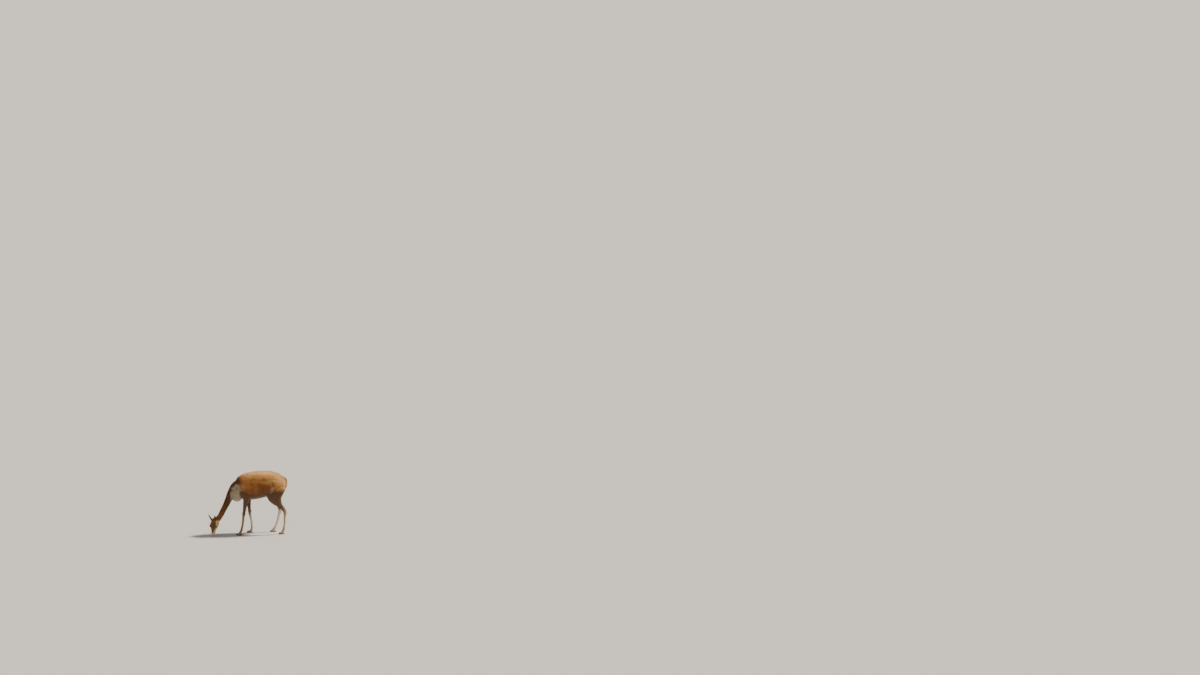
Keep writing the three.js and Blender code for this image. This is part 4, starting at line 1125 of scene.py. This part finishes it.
def fur_material(name, root=0.7, tip=1.1, variation=0.3, grain=1.5, bump=0.5, sheen=0.25):
    """A fur finish: the fur group's colour, roughness and bump, with a soft sheen."""
    material, tree, shader = new_material(name)
    group = tree.nodes.new("ShaderNodeGroup")
    group.node_tree = fur
    for key, value in (("Root shade", root), ("Tip light", tip), ("Variation", variation), ("Grain", grain)):
        group.inputs[key].default_value = value
    tree.links.new(group.outputs["Colour"], shader.inputs["Base Color"])
    tree.links.new(group.outputs["Roughness"], shader.inputs["Roughness"])
    relief = node(tree, "ShaderNodeBump", Strength=bump, Distance=0.0006, Height=group.outputs["Height"])
    tree.links.new(relief.outputs["Normal"], shader.inputs["Normal"])
    shader.inputs["Sheen Weight"].default_value = sheen
    shader.inputs["Sheen Roughness"].default_value = 0.5
    shader.inputs["Specular IOR Level"].default_value = 0.25
    return material


# Skin: the markings lie on it too, and read as the coat's underside between the tufts.
set_values(skin_mesh, "tint", "FLOAT_COLOR", with_alpha(skin_tint))
bare = on_face | on_ears | ((on_legs | on_torso) & (in_fleece < 0.5))
# Under the fleece the skin is darker than bare skin: painted shade between the tufts.
set_values(skin_mesh, "along", "FLOAT", np.where(bare, 0.7, 0.5))
set_values(skin_mesh, "pick", "FLOAT", noise(skin_points, 9, 31))
set_values(skin_mesh, "combed", "FLOAT_VECTOR", (skin_local + skin_part[:, None] * 300) * (1, 1, COMBED))
skin_mesh.materials.clear()
skin_mesh.materials.append(fur_material("Short fur on skin", 0.72, 1.05, 0.2, 1.1, 0.8))
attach(skin, "root")
PAIRS = [(kind, side) for kind in ("hind", "fore") for side in ("left", "right")]
FLESH = [
    "torso", "neck_lower", "neck_upper", "head", "ear_left", "ear_right",
    *(f"{kind}leg_{side}_{piece}" for kind, side in PAIRS for piece in ("upper", "cannon")),
    *(f"{kind}foot_{side}" for kind, side in PAIRS),
]
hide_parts(*FLESH)

fleece_fur = fur_material("Fleece", 0.68, 1.14, 0.24, 1.5)
neck_fur = fur_material("Neck wool", 0.8, 1.1, 0.2, 1.7)
short_fur = fur_material("Short hair", 0.92, 1.06, 0.18, 2.0)
long_fur = fur_material("Long silky hair", 0.7, 1.1, 0.2, 1.5, 0.5, 0.35)

face_fleece = in_fleece[skin_faces].mean(1)
face_part = skin_part[skin_faces[:, 0]]
wool = face_fleece > 0.5


def of_parts(*names):
    """True for the skin's faces that belong to one of the named forms."""
    return np.isin(face_part, [PART[n] for n in names])


coat("fleece", wool, "fleece", fleece_fur, clump=40, pull=0.24, seed=3, swing=0.34)
coat("neck_wool", ~wool & of_parts("neck"), "neck_wool", neck_fur, clump=20, pull=0.2, seed=4)
coat("leg_hair", ~wool & of_parts(*LEGS), "leg_hair", short_fur, 0.3, seed=5)
coat("belly_hair", ~wool & of_parts("torso"), "leg_hair", short_fur, 0.3, seed=7)
coat("face_hair", of_parts("head", "ear_left", "ear_right"), "face_hair", short_fur, 0.3, seed=6, swing=0.16)


def long_locks(
    name, rows, material, part, count, reach, width, tint, layers, seed, locks, taper, replaced
):
    """Long hair over a form: each strand starts at a share along the form and an angle round it, runs
    down its surface at a depth that grows from the core to the tips, sways, and ends in a point. The
    strands of a lock draw together to the lock's own angle as the square of the share along them."""
    rng = np.random.default_rng(seed)
    shape = form(rows[:, :3], rows[:, 3], rows[:, 4], 0, (0, 1, 0), 12)
    last = len(shape["middle"]) - 1
    start = layers[0] + (layers[1] - layers[0]) * rng.random(count)
    angle = rng.random(count) * 2 * np.pi
    length = reach * (0.55 + 0.65 * rng.random(count))
    stations = 6
    t = np.linspace(0, 1, stations)
    share = start[:, None] + length[:, None] * t
    sway = rng.normal(0, 0.16, count)[:, None] * t**2 + rng.normal(0, 0.03, (count, stations)) * t
    row = np.floor(start * 6)
    centre = (np.floor(angle / (2 * np.pi) * locks + 0.5 * row) + 0.5 - 0.5 * row) * 2 * np.pi / locks
    turned = angle[:, None] + 0.5 * (centre - angle)[:, None] * t**2 + sway * 0.8
    depth = rng.random(count)[:, None] * 0.5
    out = mix(-0.34, 0.0, t) - depth * 0.3 * (1 - t) - depth * 0.1 - taper * step(0.72, 1.08, share)
    near = np.clip(share, 0, 1) * last
    low = np.minimum(near.astype(int), last - 1)
    past = near - low

    def take(key):
        values = shape[key]
        t = past[..., None] if values.ndim > 1 else past
        return values[low] * (1 - t) + values[low + 1] * t

    span = np.linalg.norm(np.diff(shape["middle"], axis=0), axis=1).sum()
    scale = (1 + out)[..., None]
    path = (
        take("middle")
        + take("across") * (take("wide") * np.cos(turned))[..., None] * scale
        + take("up") * (take("deep") * np.sin(turned))[..., None] * scale
        + take("way") * (np.maximum(share - 1, 0) * span)[..., None]
    )
    across = unit(
        take("up")[:, 2] * np.cos(angle)[:, None] - take("across")[:, 2] * np.sin(angle)[:, None]
    )
    taper_off = np.interp(t, (0, 0.3, 0.8, 1), (0.8, 1, 0.7, 0.1))
    size = width * (0.7 + 0.6 * rng.random(count))[:, None] * taper_off
    colour = mix(tint[0], tint[1], rng.random(count))
    # The tail's hair is darkened underneath as painted shade.
    if name == "tail_hair":
        colour = mix(colour, DARK * 1.4, step(0.2, -0.7, np.sin(angle)) * 0.8)
    round_form = (angle % (2 * np.pi)) - np.pi
    place = chart_place(np.full(count, PART[part]), np.clip(share[:, 2], 0, 1), round_form)
    made = hair_object(name, path, across, size, size * 0.34, colour, place, rng.random(count), material)
    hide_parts(replaced)


# The bib's locks: cream and a darker stone grey, partly painted shade on white hair.
long_locks(
    "bib_hair", BIB, long_fur, "bib", count=4100, reach=0.44, width=3.7,
    tint=(CREAM, SHADED_WHITE * 0.9), layers=(0.02, 0.56), seed=12, locks=23, taper=0.5, replaced="chest_bib",
)
long_locks(
    "tail_hair", TAIL, fleece_fur, "tail", count=2500, reach=0.36, width=3.0,
    tint=(TAWNY, NECK_BROWN), layers=(0.0, 0.7), seed=13, locks=9, taper=0.3, replaced="tail",
)


def eye_material():
    """A dark wet eye: brown iris, a long level pupil, and a black rim, from the share across the eye."""
    material, tree, shader = new_material("Wet dark eye")
    across = node(tree, "ShaderNodeAttribute", attribute_name="iris").outputs["Fac"]
    ramp = node(tree, "ShaderNodeValToRGB", Fac=across)
    black = (0.004, 0.003, 0.003)
    set_ramp(ramp, (
        (0.3, black), (0.42, (0.05, 0.02, 0.009)), (0.7, (0.03, 0.013, 0.007)), (0.8, black),
        (0.95, (0.05, 0.035, 0.03)),
    ))
    place = tree.nodes.new("ShaderNodeTexCoord").outputs["Object"]
    flecks = node(tree, "ShaderNodeTexNoise", Scale=1400.0, Vector=place)
    mixed = node(tree, "ShaderNodeMix", data_type="RGBA", blend_type="MULTIPLY")
    mixed.inputs["Factor"].default_value = 0.5
    tree.links.new(ramp.outputs["Color"], mixed.inputs[6])
    tree.links.new(flecks.outputs["Color"], mixed.inputs[7])
    tree.links.new(mixed.outputs[2], shader.inputs["Base Color"])
    shader.inputs["Roughness"].default_value = 0.08
    shader.inputs["Coat Weight"].default_value = 1.0
    shader.inputs["Coat Roughness"].default_value = 0.02
    return material


wet_eye = eye_material()
for name, side in (("left", 1), ("right", -1)):
    look = unit(np.array([0.22, side * 1.0, 0.03]))
    points, faces = ball(np.zeros(3), np.ones(3), 64, 40)
    level = unit(np.cross(look, (0, 0, 1)))
    ahead = points @ look
    bulge = 1 + 0.06 * step(0.72, 0.95, ahead)
    iris = np.sqrt((points @ level * 0.72) ** 2 + (points @ np.cross(level, look) * 1.15) ** 2)
    iris = np.where(ahead > 0, np.clip(iris, 0, 1), 1)
    points = points * bulge[:, None] * (EYE_RADIUS - 0.2) + EYE_AT * (1, side, 1)
    made = mesh_object(f"eye_ball_{name}", to_frame(on_head(points)), faces)
    set_values(made.data, "iris", "FLOAT", iris)
    made.data.materials.append(wet_eye)
    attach(made, "root")
    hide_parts(f"eye_{name}")


def plain_material(name, colour, roughness, bump, scale, stretch=(1, 1, 1)):
    """Horn or leather: a colour varied by stretched noise, which also lifts the surface."""
    material, tree, shader = new_material(name)
    place = tree.nodes.new("ShaderNodeTexCoord").outputs["Object"]
    mapped = node(tree, "ShaderNodeMapping", Vector=place, Scale=stretch)
    grain = node(tree, "ShaderNodeTexNoise", Scale=scale, Vector=mapped.outputs["Vector"], Detail=4.0)
    ramp = node(tree, "ShaderNodeValToRGB", Fac=grain.outputs["Fac"])
    set_ramp(ramp, ((0.3, colour * 0.55), (0.7, colour * 1.35)))
    tree.links.new(ramp.outputs["Color"], shader.inputs["Base Color"])
    shader.inputs["Roughness"].default_value = roughness
    relief = node(tree, "ShaderNodeBump", Strength=bump, Distance=0.0005, Height=grain.outputs["Fac"])
    tree.links.new(relief.outputs["Normal"], shader.inputs["Normal"])
    return material


def nails():
    """Eight nails: each a tapered form, round on top, that curves ahead and down from its toe."""
    parts = []
    for joints, side in LEGS.values():
        for inner in (-1, 1):
            x0 = joints[3][0] - TOE_ROOT - TOE[-1, 0]
            y0 = side * STANCE + inner * (TOE_SPREAD + TOE_SPLAY)
            ahead, height = np.array([11, 4, -3, -8, -11]), np.array([15, 14.2, 11.8, 8.2, 4.2])
            path = np.column_stack([x0 + ahead, y0 + 0 * ahead, height])
            size = np.array([5.4, 6.0, 5.4, 3.8, 1.4])
            parts.append(closed(form(path, size, size * 0.95, 0.12, (0, -1, 0)), 20, dome=0.6))
    return joined(parts)


points, faces = nails()
nail_piece = mesh_object("toe_nails", to_frame(points), faces)
nail_piece.data.materials.append(plain_material("Dark horn", paint(66, 54, 46), 0.42, 0.4, 260.0, (1, 6, 1)))
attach(nail_piece, "root")
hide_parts(*(f"nail_{leg}_{toe}" for leg in LEGS for toe in ("inner", "outer")))


def lashes():
    """Lashes along the upper lids: root + way * L t - up * 0.42 L t^2, so that they leave the rim
    outwards and bend down at the tip."""
    rng = np.random.default_rng(17)
    for name, side in (("left", 1), ("right", -1)):
        line = lid_line(True, 46)[4:-4]
        count = len(line)
        root = on_eye(line, side, EYE_RADIUS + 2.2)
        lean = rng.normal(0, 0.14, count)
        away = np.column_stack([line[:, 0] * 0.05 + lean, np.full(count, float(side)), np.full(count, 0.25)])
        away = unit(away)
        t = np.linspace(0, 1, 5)[None, :, None]
        length = (4 + 3 * rng.random(count))[:, None, None]
        path = root[:, None] + away[:, None] * length * t + np.array([0, 0, -1.0]) * length * 0.42 * t**2
        across = np.tile(np.array([1.0, 0, 0]), (count, 1))
        width = np.full((count, 5), 0.45) * np.linspace(1, 0.3, 5)
        path = on_head(path.reshape(-1, 3)).reshape(path.shape)
        place = chart_place(np.full(count, PART["head"]), np.full(count, 0.45), np.full(count, side * 1.2))
        made = hair_object(
            f"lashes_{name}", path, across @ head_axes, width, width * 0.6,
            np.tile(DARK * 0.3, (count, 1)), place, rng.random(count), short_fur,
        )


lashes()

# Floor, light and camera.
FLOOR = 400.0
corners = np.array([(-1, -1, 0), (1, -1, 0), (1, 1, 0), (-1, 1, 0)]) * FLOOR
floor = mesh_object("floor", corners, [np.array([[0, 1, 2, 3]])], False)
floor_material, _, floor_shader = new_material("Pale floor")
floor_shader.inputs["Base Color"].default_value = (0.62, 0.58, 0.54, 1)
floor_shader.inputs["Roughness"].default_value = 0.9
floor.data.materials.append(floor_material)

world = bpy.data.worlds.new("Studio")
world.use_nodes = True
world.node_tree.nodes["Background"].inputs["Color"].default_value = (0.93, 0.95, 1.0, 1)
world.node_tree.nodes["Background"].inputs["Strength"].default_value = 0.3
bpy.context.scene.world = world


def view_axes(azimuth, elevation):
    """Right, up and back of a view."""
    a, e = math.radians(azimuth), math.radians(elevation)
    back = np.array([math.sin(a) * math.cos(e), -math.cos(a) * math.cos(e), math.sin(e)])
    right = np.array([math.cos(a), math.sin(a), 0])
    return right, np.cross(back, right), back


def sun(name, azimuth, elevation, strength, angle, colour=(1, 1, 1)):
    """A sun that shines from the given direction, with a wide disc for soft shadows."""
    light = bpy.data.lights.new(name, "SUN")
    light.energy, light.angle, light.color = strength, math.radians(angle), colour
    made = bpy.data.objects.new(name, light)
    bpy.context.scene.collection.objects.link(made)
    _, _, back = view_axes(azimuth, elevation)
    made.rotation_mode = "QUATERNION"
    made.rotation_quaternion = Vector(back).to_track_quat("Z", "Y")
    return made


sun("key", 99, 50, 5.6, 8, (1, 0.94, 0.84))
sun("fill", -30, 35, 0.25, 60, (0.97, 0.98, 1))

# The camera looks at the photo's middle: the animal's own zero stands 262 pixels across and 533.3
# down in the 1200 by 675 picture, at 13 mm to a pixel.
PIXEL = 0.013
LENS, SENSOR = 300.0, 36.0
CAMERA_AWAY = 1200 * PIXEL * LENS / SENSOR
right, up, back = view_axes(-8, 10)
zero = to_frame(np.zeros(3))
middle = zero + right * (600 - 262) * PIXEL + up * (533.3 - 337.5) * PIXEL
camera_data = bpy.data.cameras.new("camera")
camera_data.lens, camera_data.sensor_width = LENS, SENSOR
camera_data.clip_start, camera_data.clip_end = 1.0, 2000.0
camera = bpy.data.objects.new("camera", camera_data)
bpy.context.scene.collection.objects.link(camera)
camera.location = middle + back * CAMERA_AWAY
camera.rotation_mode = "QUATERNION"
camera.rotation_quaternion = Vector(back).to_track_quat("Z", "Y")
bpy.context.scene.camera = camera
